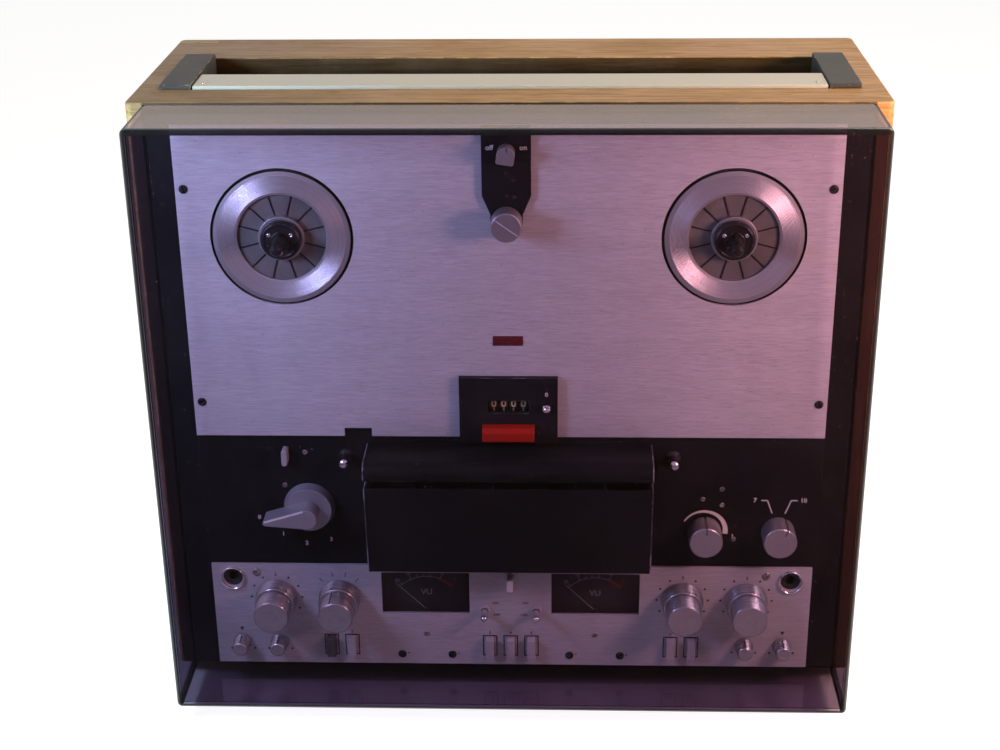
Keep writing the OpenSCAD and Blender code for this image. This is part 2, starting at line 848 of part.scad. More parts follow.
module counter_housing() {
    cheek_x = wheel_row / 2 + cut;
    front(0, 0)
        linear_extrude(counter_out)
            difference() {
                translate([-counter_w / 2, counter_bottom])
                    square([counter_w, counter_ht]);
                rect_at(0, digit_h, wheel_row + cut, wheel_r);
                translate(reset_at)
                    circle(reset_r + gap);
                rect_at(0, record_h, record_w + 2 * gap, record_ht + 2 * gap);
            }
    for (side = [-1, 1])
        front(side * (cheek_x + cheek_t / 2), digit_h)
            difference() {
                translate([-cheek_t / 2, -cheek_half, -wheel_axis_in - cheek_half])
                    cube([cheek_t, 2 * cheek_half, wheel_axis_in + cheek_half]);
                translate([-cheek_t, 0, -wheel_axis_in])
                    rotate([0, 90, 0])
                        cylinder(h = 2 * cheek_t, r = wheel_shaft_r + gap);
            }
}

module pilot_lamp() {
    color("#7a1018")
        front(0, 0, -deck_back)
            linear_extrude(deck_back + pilot_out)
                rect_at(0, pilot_h, pilot_w - 2 * glue_gap, pilot_ht - 2 * glue_gap);
}

module control_panel() {
    color("#bdb6bd") {
        sheet(plate_t)
            difference() {
                translate([-panel_half, panel_bottom])
                    square([2 * panel_half, panel_h]);
                panel_holes();
            }
        for (x = [-toggle_x, toggle_x])
            front(x, toggle_h)
                bush();
        front(0, lever_h)
            bush();
    }
}

module panel_holes() {
    for (side = [-1, 1]) {
        holes_at([for (x = big_x) [side * x, big_h]], pot_hole_r);
        holes_at([for (x = tone_x) [side * x, tone_h]], tone_shaft_r + gap);
        translate([side * toggle_x, toggle_h])
            circle(toggle_ball_r + gap);
        translate([side * jack_x, jack_h])
            circle(jack_r - window_slack);
        rect_at(side * meter_x, meter_h, meter_w, meter_ht);
    }
    translate([0, lever_h])
        circle(toggle_ball_r + gap);
    for (x = button_x)
        rect_at(x, button_h, button_w + 2 * gap, button_ht + 2 * gap);
    holes_at(panel_screw_at, screw_shank_r + gap);
    holes_at(side_screw_at, screw_shank_r + gap);
}

// Threaded neck of a small lever switch
module bush() {
    difference() {
        cylinder(h = bush_out, r = bush_r);
        translate([0, 0, -cut])
            cylinder(h = bush_out + 2 * cut, r = toggle_ball_r + gap);
    }
}

module meter_cases() {
    wall = meter_case_wall;
    w = meter_w + 4 * wall;
    low = meter_h - meter_ht / 2 - 4 * wall;
    ht = meter_ht + 6 * wall;
    color("#151515")
        for (side = [-1, 1])
            front(side * meter_x, 0, -plate_t)
                difference() {
                    translate([-w / 2, low, -meter_case_l])
                        cube([w, ht, meter_case_l]);
                    translate([-w / 2 + wall, low + wall, -meter_dial_in])
                        cube([w - 2 * wall, ht - 2 * wall, meter_dial_in + cut]);
                }
}

module meter_windows() {
    color("#dfe6ee", 0.35)
        for (side = [-1, 1])
            sheet(plate_t)
                rect_at(side * meter_x, meter_h, meter_w - 2 * glue_gap, meter_ht - 2 * glue_gap);
}

// Needle with its boss on the meter's axis; it rests against the left end of the scale
module meter_needle(x) {
    color("#e8e4d8")
        front(x, meter_h - needle_pivot_drop, -plate_t - meter_dial_in + gap)
            rotate([0, 0, needle_rest]) {
                cylinder(h = needle_boss[1], r = needle_boss[0]);
                translate([-needle_w / 2, 0, needle_up])
                    cube([needle_w, needle_l, needle_w]);
            }
}

// Side outline of the head cover, out of the deck and up
module head_outline(inset) {
    top = head_top - inset;
    low = head_bottom + inset;
    reach = head_out_top - inset;
    union() {
        polygon([[-plate_t, low], [head_out_low - inset, low], [reach, top - head_round],
            [reach - head_round, top], [-plate_t, top]]);
        translate([reach - head_round, top - head_round])
            circle(head_round);
    }
}

// Solid of the head cover's side outline across the given half width
module head_solid(half, inset) {
    front(-half, 0)
        rotate([0, 90, 0])
            linear_extrude(2 * half)
                mirror([1, 0])
                    head_outline(inset);
}

module head_cover() {
    slot_z = foot_h + head_low_h;
    reach_y = panel_y - head_out_top - cut;
    color("#161618")
        difference() {
            head_solid(head_half_w, 0);
            head_solid(head_half_w - head_t, head_t);
            box_between([-head_half_w - cut, reach_y, slot_z],
                [head_half_w + cut, panel_y + deck_back, slot_z + tape_slot]);
        }
}

module heads_and_guides() {
    color("silver") {
        for (x = head_x)
            front(x, tape_h - cut - head_block[1], -plate_t)
                translate([-head_block[0] / 2, 0, 0])
                    cube(head_block);
        for (side = [-1, 1])
            front(side * guide_x, guide_h, -plate_t) {
                cylinder(h = guide_foot_l, r = guide_r + guide_foot_w);
                cylinder(h = guide_l, r = guide_r);
            }
    }
}

module front_jacks() {
    color("silver")
        for (side = [-1, 1])
            front(side * jack_x, jack_h)
                difference() {
                    union() {
                        cylinder(h = jack_ring, r = jack_r);
                        translate([0, 0, -jack_l])
                            cylinder(h = jack_l, r = jack_r - window_slack - gap);
                    }
                    translate([0, 0, -jack_l - cut])
                        cylinder(h = jack_l + jack_ring + 2 * cut, r = jack_bore_r);
                }
}

module chassis_frame() {
    low = foot_h + board_t;
    shelf_back = rear_y - rear_t - shelf_end;
    color("#8d9094") {
        difference() {
            box_between([-chassis_half_w, chassis_y, low], [chassis_half_w, motor_y, foot_h + chassis_top]);
            for (p = motor_at)
                front(p[0], p[1], -2 * deck_rise - chassis_back)
                    cylinder(h = 2 * deck_rise + chassis_back, r = p[2] + gap);
        }
        box_between([-chassis_half_w, chassis_y, low], [chassis_half_w, shelf_back, shelf_z]);
        for (x = [-1, 1], h = pillar_h)
            front(x * (chassis_half_w - pillar_in), h, -deck_rise - chassis_back)
                cylinder(h = deck_rise + chassis_back - deck_back, r = pillar_r);
    }
}

module drive_motors() {
    color("#6f7276")
        for (p = motor_at)
            translate([p[0], motor_y, foot_h + p[1]])
                rotate([-90, 0, 0])
                    difference() {
                        union() {
                            cylinder(h = motor_l, r = motor_r);
                            translate([0, 0, motor_l])
                                cylinder(h = motor_boss_l, r = motor_r / 3);
                        }
                        translate([0, 0, -cut])
                            cylinder(h = motor_bore_l + cut, r = p[2] + gap);
                    }
}

// Iron core with its winding, close to the rear panel
module mains_transformer() {
    over = winding_size[1] - transformer_size[1];
    side = (transformer_size[0] - winding_size[0]) / 2;
    back = rear_y - socket_in - transformer_clear;
    color("#55565a")
        translate([-chassis_half_w + transformer_in, back - over / 2 - transformer_size[1], shelf_z]) {
            cube(transformer_size);
            translate([side, -over / 2, winding_up])
                cube(winding_size);
        }
}

module circuit_boards() {
    color("#3f6b3a")
        for (i = [0:circuit_n - 1])
            translate([circuit_x, motor_y + circuit_front + circuit_pitch * i, shelf_z]) {
                cube(circuit_size);
                for (k = [0:part_n - 1])
                    translate([part_first[0] + part_pitch * k, circuit_size[1],
                        part_first[1] + part_step * (k % circuit_n)])
                        cube(part_size);
            }
}

module loudspeakers() {
    color("#303033")
        for (side = [-1, 1])
            translate([side * hub_x, rear_y - rear_t, foot_h + speaker_h])
                rotate([90, 0, 0]) {
                    cylinder(h = speaker_rim_t, r = speaker_r);
                    translate([0, 0, speaker_rim_t])
                        cylinder(h = speaker_cone_l, r1 = speaker_r - speaker_rim_t, r2 = speaker_r / 2);
                    translate([0, 0, speaker_rim_t + speaker_cone_l])
                        cylinder(h = speaker_magnet_l, r = speaker_r / 2);
                }
}

// Cheese-head screw in panel axes, its head on the surface and its shank behind it
module screw(shank_l) {
    difference() {
        cylinder(h = screw_head, r = screw_r);
        translate([-screw_r - cut, -screw_slot[0] / 2, screw_head - screw_slot[1]])
            cube([2 * (screw_r + cut), screw_slot[0], cut]);
    }
    translate([0, 0, -shank_l])
        cylinder(h = shank_l, r = screw_shank_r);
}

module screws() {
    color("#4a4a4c") {
        for (p = concat(trim_screw_at, panel_screw_at, side_screw_at))
            front(p[0], p[1])
                screw(deck_back);
        for (p = rear_screw_at)
            translate([p[0], rear_y, foot_h + p[1]])
                rotate([-90, 0, 0])
                    screw(rear_t);
    }
}

// Turntable with its collar, its black cap and spindle as a second piece, and its shaft
module turntable(x) {
    shaft_l = motor_reach + platter_out - platter_t;
    cap_at = platter_out + collar_out + glue_gap;
    color("#c4c0c2")
        front(x, hub_h, platter_out - platter_t) {
            difference() {
                cylinder(h = platter_t, r = platter_r);
                translate([0, 0, platter_t - ring_sink])
                    difference() {
                        cylinder(h = ring_sink + cut, r = ring_r);
                        translate([0, 0, -cut])
                            cylinder(h = ring_sink + 3 * cut, r = collar_r);
                        for (i = [0:rib_n - 1])
                            rotate([0, 0, 360 / rib_n * i])
                                translate([0, -platter_rib_w / 2, -cut])
                                    cube([ring_r + cut, platter_rib_w, ring_sink]);
                    }
            }
            translate([0, 0, platter_t])
                cylinder(h = collar_out, r = collar_r);
            translate([0, 0, -shaft_l])
                cylinder(h = shaft_l, r = shaft_r);
        }
    color("#1d1d1f")
        front(x, hub_h, cap_at) {
            cylinder(h = cap_l, r = cap_r);
            translate([0, 0, cap_l])
                cylinder(h = spindle_key[2], r = spindle_r + spindle_root);
            translate([0, 0, cap_l])
                cylinder(h = spindle_out - cap_at - cap_l, r = spindle_r);
            for (turn = [90, 210, 330])
                rotate([0, 0, turn])
                    translate([0, -spindle_key[1] / 2, cap_l])
                        cube(spindle_key + [spindle_r, 0, 0]);
        }
}

module turntable_left() {
    turntable(-hub_x);
}

module turntable_right() {
    turntable(hub_x);
}

// Round knob in panel axes with a pointer groove, turned from upright, and a shaft behind
module knob(r, out, clear, shaft, depth, turn = 0) {
    bevel = 0.8;
    groove = 1;
    rotate([0, 0, turn])
        difference() {
            union() {
                translate([0, 0, clear])
                    cylinder(h = out - clear - bevel, r = r);
                translate([0, 0, out - bevel])
                    cylinder(h = bevel, r1 = r, r2 = r - bevel);
            }
            translate([-groove / 2, r / 2, out - groove])
                cube([groove, r, groove + cut]);
            translate([-groove / 2, r - groove, clear])
                cube([groove, r, out]);
        }
    translate([0, 0, -depth])
        cylinder(h = depth + clear, r = shaft);
}

module power_knob() {
    color("#c9c5c8")
        front(0, power_h)
            knob(power_r, switch_plate_t + power_l, switch_plate_t + knob_clear, pot_r, shaft_depth,
                power_turn);
}

module spool_knob() {
    color("#c9c5c8")
        front(0, spool_h)
            knob(spool_r, spool_out, switch_plate_t + knob_clear, pot_r, shaft_depth);
}

module counter_wheels() {
    axle_l = wheel_row + 2 * (cut + cheek_t + axle_end);
    color("#e4d7b4")
        front(-axle_l / 2, digit_h, -wheel_axis_in)
            rotate([0, 90, 0]) {
                cylinder(h = axle_l, r = wheel_shaft_r);
                for (i = [0:wheel_n - 1])
                    translate([0, 0, axle_l / 2 + (i - (wheel_n - 1) / 2) * wheel_pitch - wheel_w / 2])
                        cylinder(h = wheel_w, r = wheel_r);
            }
}

module reset_button() {
    color("silver")
        front(reset_at[0], reset_at[1]) {
            translate([0, 0, -shaft_depth / 2])
                cylinder(h = shaft_depth / 2 + counter_out + reset_out, r = reset_r);
            translate([0, 0, -shaft_depth / 2 - reset_stop])
                cylinder(h = reset_stop, r = reset_r + 1);
        }
}

module record_button() {
    reach = counter_out + record_out;
    color("#c4231a")
        front(0, record_h)
            difference() {
                translate([-record_w / 2, -record_ht / 2, -shaft_depth / 2])
                    cube([record_w, record_ht, reach + shaft_depth / 2]);
                translate([-record_w / 2 - cut, record_ht / 2, reach - record_bevel])
                    rotate([45, 0, 0])
                        cube([record_w + 2 * cut, 2 * record_bevel, 2 * record_bevel]);
            }
}

// Flat bar with round ends, in panel axes
module pill(w, ht, t) {
    linear_extrude(t)
        union() {
            rect_at(0, 0, w, ht - w);
            for (side = [-1, 1])
                translate([0, side * (ht - w) / 2])
                    circle(w / 2);
        }
}

module lock_release_button() {
    color("#b9b5b8")
        front(lock_at[0], lock_at[1], -deck_back - lock_in_l)
            pill(lock_w, lock_ht, deck_back + lock_in_l + lock_out);
}

// Skirted knob with a long pointer, which points to the left at rest
module function_knob() {
    tip = function_arm - function_nose_r;
    color("#bdb8bd")
        front(function_at[0], function_at[1], -plate_t) {
            translate([0, 0, knob_clear])
                cylinder(h = function_skirt, r1 = function_r, r2 = function_r - function_taper);
            translate([0, 0, -deck_t - shaft_depth])
                cylinder(h = deck_t + shaft_depth + knob_clear, r = pot_r);
            rotate([0, 0, function_rest])
                translate([0, 0, knob_clear + function_skirt])
                    linear_extrude(function_out + plate_t - function_skirt - knob_clear)
                        union() {
                            circle(function_heel_r);
                            polygon([[0, -function_heel_r], [tip, -function_nose_r],
                                [tip, function_nose_r], [0, function_heel_r]]);
                            translate([tip, 0])
                                circle(function_nose_r);
                        }
        }
}

module speed_knob() {
    color("#bdb8bd")
        front(speed_x, selector_h, -plate_t)
            knob(selector_r, selector_out + plate_t, knob_clear, pot_r, deck_t + shaft_depth);
}

module reel_size_knob() {
    color("#bdb8bd")
        front(reel_size_x, selector_h, -plate_t)
            knob(selector_r, selector_out + plate_t, knob_clear, pot_r, deck_t + shaft_depth,
                reel_size_turn);
}

// Rear tier of a double knob: a ring whose tube turns round the front tier's shaft
module outer_knob(x) {
    color("#c6c2c4")
        front(x, big_h)
            difference() {
                union() {
                    translate([0, 0, knob_clear])
                        cylinder(h = big_rear_l - knob_clear, r1 = big_r, r2 = big_r - big_taper);
                    translate([0, 0, -shaft_depth])
                        cylinder(h = shaft_depth + knob_clear, r = pot_r);
                }
                translate([0, 0, -shaft_depth - cut])
                    cylinder(h = shaft_depth + big_rear_l + 2 * cut, r = inner_shaft_r + gap);
            }
}

// Front tier of a double knob on its own shaft
module inner_knob(x) {
    bevel = 0.8;
    color("#d0ccce")
        front(x, big_h) {
            translate([0, 0, big_rear_l + gap])
                cylinder(h = big_out - big_rear_l - gap - bevel, r = big_front_r);
            translate([0, 0, big_out - bevel])
                cylinder(h = bevel, r1 = big_front_r, r2 = big_front_r - bevel);
            translate([0, 0, -shaft_depth - inner_shaft_more])
                cylinder(h = shaft_depth + inner_shaft_more + big_rear_l + gap, r = inner_shaft_r);
        }
}

module input_knob_left_outer() {
    outer_knob(-big_x[1]);
}

module input_knob_left_inner() {
    inner_knob(-big_x[1]);
}

module equaliser_knob() {
    color("#c6c2c4")
        front(-big_x[0], big_h) {
            translate([0, 0, knob_clear])
                cylinder(h = big_rear_l - knob_clear, r1 = big_r, r2 = big_r - big_taper);
            translate([0, 0, big_rear_l])
                knob(big_front_r, big_out - big_rear_l, 0, pot_r, big_rear_l + shaft_depth, equaliser_turn);
        }
}

module volume_knob_outer() {
    outer_knob(big_x[0]);
}

module volume_knob_inner() {
    inner_knob(big_x[0]);
}

module input_knob_right_outer() {
    outer_knob(big_x[1]);
}

module input_knob_right_inner() {
    inner_knob(big_x[1]);
}

module tone_knob(x) {
    color("#c6c2c4")
        front(x, tone_h)
            knob(tone_r, tone_out, knob_clear, tone_shaft_r, shaft_depth);
}

module bass_knob_left() {
    tone_knob(-tone_x[1]);
}

module treble_knob_left() {
    tone_knob(-tone_x[0]);
}

module treble_knob_right() {
    tone_knob(tone_x[0]);
}

module bass_knob_right() {
    tone_knob(tone_x[1]);
}

// Push-button with a stop behind the panel
module push_button(i) {
    color(i == 0 ? "#2a2a2c" : "#b9b3b9")
        front(button_x[i], button_h) {
            translate([-button_w / 2, -button_ht / 2, -shaft_depth])
                cube([button_w, button_ht, shaft_depth + button_out]);
            translate([-button_w / 2 - button_stop[0], -button_ht / 2, -plate_t - gap - button_stop[1]])
                cube([button_w + 2 * button_stop[0], button_ht, button_stop[1]]);
        }
}

// Small switch lever whose ball sits in its bush at the panel's front, on a pin across it
module switch_lever(x, h, pin_turn = 0) {
    pin_l = 2 * toggle_ball_r + gap;
    color("silver")
        front(x, h) {
            translate([0, 0, lever_ball_out]) {
                sphere(r = toggle_ball_r);
                rotate([0, 90, pin_turn])
                    translate([0, 0, -pin_l / 2])
                        cylinder(h = pin_l, r = toggle_pin_r);
                cylinder(h = lever_l - lever_ball_out, r1 = toggle_r - toggle_taper, r2 = toggle_r);
            }
            translate([0, 0, lever_l])
                sphere(r = toggle_r);
        }
}

module toggle_left() {
    switch_lever(-toggle_x, toggle_h);
}

module toggle_right() {
    switch_lever(toggle_x, toggle_h);
}

module track_lever() {
    switch_lever(0, lever_h, 90);
}

module meter_needle_left() {
    meter_needle(-meter_x);
}

module meter_needle_right() {
    meter_needle(meter_x);
}

module capstan() {
    color("silver")
        front(capstan_x, capstan_h, -motor_reach)
            cylinder(h = motor_reach + capstan_out, r = capstan_r);
}

module pinch_arm() {
    reach = [roller_x - arm_pivot[0], roller_h - arm_pivot[1]];
    length = norm(reach);
    color("#9a9a9c")
        front(arm_pivot[0], arm_pivot[1], -plate_t) {
            translate([0, 0, -deck_t - arm_shaft_l])
                cylinder(h = deck_t + arm_shaft_l + knob_clear, r = pot_r);
            rotate([0, 0, atan2(reach[1], reach[0])])
                translate([0, 0, knob_clear])
                    linear_extrude(arm_t)
                        union() {
                            rect_at(length / 2, 0, length, arm_w);
                            circle(arm_w / 2);
                            translate([length, 0])
                                circle(arm_w / 2);
                        }
            translate([reach[0], reach[1], knob_clear])
                cylinder(h = arm_t + roller_l + 2 * cut, r = roller_pin_r);
        }
}

module pinch_roller() {
    color("#2c2a2a")
        front(roller_x, roller_h, -plate_t + knob_clear + arm_t + gap)
            difference() {
                cylinder(h = roller_l, r = roller_r);
                translate([0, 0, -cut])
                    cylinder(h = roller_l + 2 * cut, r = roller_pin_r + gap);
            }
}

cabinet_boards();
rear_panel();
rear_sockets();
feet();
handle_brackets();
deck_plate();
trim_plate();
centre_escutcheons();
pilot_lamp();
control_panel();
meter_cases();
meter_windows();
head_cover();
heads_and_guides();
front_jacks();
chassis_frame();
drive_motors();
mains_transformer();
circuit_boards();
loudspeakers();
screws();
dust_cover();
handle_bar();
turntable_left();
turntable_right();
power_knob();
spool_knob();
counter_wheels();
reset_button();
record_button();
lock_release_button();
function_knob();
speed_knob();
reel_size_knob();
input_knob_left_outer();
input_knob_left_inner();
equaliser_knob();
volume_knob_outer();
volume_knob_inner();
input_knob_right_outer();
input_knob_right_inner();
bass_knob_left();
treble_knob_left();
treble_knob_right();
bass_knob_right();
push_button(0);  // push_button_1
push_button(1);  // push_button_2
push_button(2);  // push_button_3
push_button(3);  // push_button_4
push_button(4);  // push_button_5
push_button(5);  // push_button_6
push_button(6);  // push_button_7
toggle_left();
toggle_right();
track_lever();
meter_needle_left();
meter_needle_right();
capstan();
pinch_arm();
pinch_roller();
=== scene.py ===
"""Reel-to-reel tape recorder in a veneered cabinet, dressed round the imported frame."""

import json
import logging
import math
from dataclasses import dataclass
from enum import Enum
from typing import Any, Callable, Sequence

import bpy
from mathutils import Euler, Matrix, Vector


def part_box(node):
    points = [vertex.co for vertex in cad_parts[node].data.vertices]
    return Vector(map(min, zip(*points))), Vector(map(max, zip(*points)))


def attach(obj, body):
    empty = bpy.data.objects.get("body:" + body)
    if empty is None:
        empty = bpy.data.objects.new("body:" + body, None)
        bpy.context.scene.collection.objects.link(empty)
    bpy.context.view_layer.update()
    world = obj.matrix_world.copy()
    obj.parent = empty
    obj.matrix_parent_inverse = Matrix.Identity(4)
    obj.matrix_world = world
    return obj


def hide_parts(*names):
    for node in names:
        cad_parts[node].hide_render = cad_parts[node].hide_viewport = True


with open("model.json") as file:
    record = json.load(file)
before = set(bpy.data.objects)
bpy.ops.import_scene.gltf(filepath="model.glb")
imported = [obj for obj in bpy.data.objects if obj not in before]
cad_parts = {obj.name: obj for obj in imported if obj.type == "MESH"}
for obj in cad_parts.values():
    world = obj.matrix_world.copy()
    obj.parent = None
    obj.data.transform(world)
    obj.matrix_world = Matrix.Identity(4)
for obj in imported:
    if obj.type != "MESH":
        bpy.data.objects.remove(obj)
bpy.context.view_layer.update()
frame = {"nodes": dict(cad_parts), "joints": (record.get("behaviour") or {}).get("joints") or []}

log = logging.getLogger("recorder")

MM = 0.001    # metres in a millimetre
NEAR = 0.05   # millimetres within which two places are one
WELD = 2e-6   # metres within which doubled vertices are merged

Colour = tuple[float, float, float]
Triple = tuple[float, float, float]
Point = tuple[float, float]
Profile = Sequence[Point]
Piece = bpy.types.Object
Test = Callable[[Vector, Vector], bool]


# Shader maths


class Sock:
    """One value in a shader; Python's operators on it add Math nodes."""

    def __init__(self, shop: "Shop", socket: bpy.types.NodeSocket) -> None:
        """Wrap a socket of one of a tree's nodes."""
        self.shop, self.socket = shop, socket

    def __add__(self, other: Any) -> "Sock":
        """Sum."""
        return self.shop.maths("ADD", self, other)

    def __radd__(self, other: Any) -> "Sock":
        """Sum with a number on the left."""
        return self.shop.maths("ADD", other, self)

    def __sub__(self, other: Any) -> "Sock":
        """Difference."""
        return self.shop.maths("SUBTRACT", self, other)

    def __rsub__(self, other: Any) -> "Sock":
        """Difference from a number on the left."""
        return self.shop.maths("SUBTRACT", other, self)

    def __mul__(self, other: Any) -> "Sock":
        """Product."""
        return self.shop.maths("MULTIPLY", self, other)

    def __rmul__(self, other: Any) -> "Sock":
        """Product with a number on the left."""
        return self.shop.maths("MULTIPLY", other, self)

    def __abs__(self) -> "Sock":
        """Size without the sign."""
        return self.shop.maths("ABSOLUTE", self)


class Shop:
    """A node tree in the making, with the patterns that the finishes share."""

    def __init__(self, tree: bpy.types.NodeTree) -> None:
        """Empty the node tree of a material or of the world, and start on it."""
        self.tree = tree
        tree.nodes.clear()

    def node(self, kind: str, settings: dict[str, Any] | None = None,
             sockets: dict[int | str, Any] | None = None, out: int | str = 0) -> Sock:
        """Add any node.

        Args:
            kind: the node's type.
            settings: its properties, set first.
            sockets: values or links of its inputs, by name or number.
            out: the output to hand back.

        Returns:
            That output.
        """
        made = self.tree.nodes.new(kind)
        for key, value in (settings or {}).items():
            setattr(made, key, value)
        for key, value in (sockets or {}).items():
            if isinstance(value, Sock):
                self.tree.links.new(value.socket, made.inputs[key])
            elif isinstance(value, tuple) and len(value) == 3 and made.inputs[key].type == "RGBA":
                made.inputs[key].default_value = (*value, 1.0)
            else:
                made.inputs[key].default_value = value
        return Sock(self, made.outputs[out] if len(made.outputs) else made.inputs[0])

    def maths(self, operation: str, *values: Any) -> Sock:
        """A Math node on numbers or sockets, in order."""
        return self.node("ShaderNodeMath", {"operation": operation}, dict(enumerate(values)))

    def place(self) -> Sock:
        """The place on the object, in metres."""
        return self.node("ShaderNodeTexCoord", out="Object")

    def along(self, letter: str) -> Sock:
        """One coordinate of that place: X, Y or Z."""
        return self.node("ShaderNodeSeparateXYZ", None, {0: self.place()}, out=letter)

    def stretched(self, scale: Triple) -> Sock:
        """The place with each axis scaled."""
        return self.node("ShaderNodeMapping", None, {"Vector": self.place(), "Scale": scale})

    def grained(self, grain: str, along: float, across: float) -> Sock:
        """The place, scaled one way along the grain's axis and another way across it."""
        return self.stretched(tuple(along if axis == grain else across for axis in "XYZ"))

    def noise(self, scale: float, detail: float = 2.0, rough: float = 0.5,
              vector: Sock | None = None, warp: float = 0.0) -> Sock:
        """Cloudy noise from 0 to 1.

        Args:
            scale: cells per metre, or per unit of the vector.
            detail: octaves.
            rough: how strong the fine octaves are.
            vector: where to read it; the place on the object if not given.
            warp: how far it is distorted.

        Returns:
            The noise.
        """
        return self.node("ShaderNodeTexNoise", None, {
            "Vector": vector or self.place(), "Scale": scale, "Detail": detail,
            "Roughness": rough, "Distortion": warp})

    def rings(self, run: Sock, scale: float) -> Sock:
        """Noise along one value, such as the distance from a lathe's centre."""
        return self.node("ShaderNodeTexNoise", {"noise_dimensions": "1D"}, {"W": run, "Scale": scale, "Detail": 2.0})

    def fade(self, value: Sock, low: float, high: float) -> Sock:
        """A soft step from 0 at low to 1 at high."""
        return self.node("ShaderNodeMapRange", {"interpolation_type": "SMOOTHSTEP"},
                         {0: value, 1: low, 2: high, 3: 0.0, 4: 1.0})

    def blend(self, mask: Any, under: Any, over: Any) -> Sock:
        """One colour laid over another by a mask."""
        return self.node("ShaderNodeMix", {"data_type": "RGBA"}, {0: mask, 6: under, 7: over}, out=2)

    def bump(self, height: Sock, depth: float) -> Sock:
        """A normal from a height of 0 to 1, which is depth millimetres."""
        return self.node("ShaderNodeBump", None, {"Height": height, "Distance": depth * MM})

    def surface(self, **sockets: Any) -> Sock:
        """A Principled shader; spaces in its sockets' names are written as underscores."""
        return self.node("ShaderNodeBsdfPrincipled", None,
                         {key.replace("_", " "): value for key, value in sockets.items()})

    def mixed(self, mask: Any, under: Sock, over: Sock) -> Sock:
        """One shader laid over another by a mask."""
        return self.node("ShaderNodeMixShader", None, {0: mask, 1: under, 2: over})

    def output(self, shader: Sock, kind: str = "ShaderNodeOutputMaterial") -> None:
        """Show a shader as the tree's result."""
        self.node(kind, None, {"Surface": shader})


# Finishes

LINT: Colour = (0.40, 0.38, 0.37)
HAZE: Colour = (0.40, 0.38, 0.40)
SPECK: Colour = (0.12, 0.11, 0.11)
SMEAR: Colour = (0.36, 0.34, 0.34)
TARNISH: Colour = (0.30, 0.27, 0.25)
PIN_SPECK: Colour = (0.10, 0.08, 0.07)


@dataclass(frozen=True)
class Finish:
    """A surface finish, made into a material once."""

    name: str

    def paint(self, shop: Shop) -> Sock:
        """Build the shader in an empty tree, and return it."""
        raise NotImplementedError

    def material(self) -> bpy.types.Material:
        """The finish as a material.

        Returns:
            The material, which is made the first time.
        """
        name = f"finish_{self.name}"
        made = bpy.data.materials.get(name)
        if made is None:
            made = bpy.data.materials.new(name)
            made.use_nodes = True
            shop = Shop(made.node_tree)
            shop.output(self.paint(shop))
        return made


@dataclass(frozen=True)
class Veneer(Finish):
    """Oiled hardwood veneer with its grain along one axis. Places are in metres."""

    grain: str = "X"
    mid: Colour = (0.375, 0.206, 0.084)
    dark: Colour = (0.225, 0.116, 0.046)
    pale: Colour = (0.450, 0.268, 0.122)
    bare: Colour = (0.560, 0.320, 0.130)
    core: Colour = (0.480, 0.330, 0.130)
    soil: Colour = (0.170, 0.125, 0.085)
    # The next two colours are painted shade: one darkens the top towards its left end, the other the front edges
    # behind the cover.
    grime: Colour = (0.085, 0.062, 0.045)
    shade: Colour = (0.015, 0.012, 0.012)
    wear: float = 0.0
    chip_x: float = 0.0
    chip_y: float = 0.1095
    cover_x: float = 0.2335
    cover_z: float = 0.4120
    front_y: float = 0.0600
    top_z: float = 0.4300

    def paint(self, shop: Shop) -> Sock:
        """Build the shader.

        Args:
            shop: the empty tree.

        Returns:
            Figure, pores and soiled patches, with rubbed edges and a chipped corner where asked, painted shade on the
            front edges behind the cover, darker towards the left, and painted shade on the top towards its left end.
        """
        flow = shop.grained(self.grain, 11.0, 230.0)
        fibre = shop.grained(self.grain, 45.0, 700.0)
        figure = shop.noise(1.0, 6.0, 0.6, flow, 0.7)
        streak = shop.noise(2.7, 3.0, 0.55, flow)
        pores = shop.fade(shop.noise(1.0, 2.0, 0.5, fibre), 0.56, 0.68)
        soil = shop.fade(shop.noise(8.0, 5.0, 0.62), 0.45, 0.72)
        tone = shop.blend(shop.fade(figure, 0.33, 0.66), self.dark, self.mid)
        tone = shop.blend(shop.fade(streak, 0.50, 0.76) * 0.75, tone, self.pale)
        tone = shop.blend(pores * 0.7, tone, self.dark)
        tone = shop.blend(soil * 0.35, tone, self.soil)
        height = figure * 0.4 - pores * 0.7
        across, depth, level = (shop.along(letter) for letter in "XYZ")
        if self.wear:
            limit = 0.64 - 0.26 * self.wear
            rub = shop.fade(shop.noise(70.0, 5.0, 0.68), limit - 0.05, limit + 0.15)
            tone = shop.blend(rub, tone, self.bare)
        if self.chip_x:
            edge = (shop.noise(150.0, 3.0) - 0.5) * 0.014
            chip = shop.fade(self.chip_x * MM - across + edge, 0.0, 0.0012)
            chip = chip * shop.fade(depth + edge, self.chip_y, self.chip_y + 0.0010)
            tone = shop.blend(chip, tone, self.core)
            height = height - chip * 2.0
        # Painted shade: the front edges that stand behind the cover are darkened, more towards the left.
        behind = shop.maths("MAXIMUM", shop.fade(self.cover_x - abs(across), 0.0, 0.0010),
                            1.0 - shop.fade(level, self.cover_z, self.cover_z + 0.0015))
        cover_shade = shop.fade(0.0 - depth, self.front_y, self.front_y + 0.0008) * behind
        tone = shop.blend(cover_shade * (0.97 - shop.fade(across, 0.0, 0.2) * 0.2), tone, self.shade)
        # Painted shade: the top is darkened towards its left end.
        grime = shop.fade(0.0 - across, 0.0, 0.24) * shop.fade(level, self.top_z, self.top_z + 0.0012)
        tone = shop.blend(grime * 0.55, tone, self.grime)
        rough = 0.40 + soil * 0.22 + pores * 0.18 + (streak - 0.5) * 0.15
        return shop.surface(Base_Color=tone, Roughness=rough, Normal=shop.bump(height, 0.10), IOR=1.2)


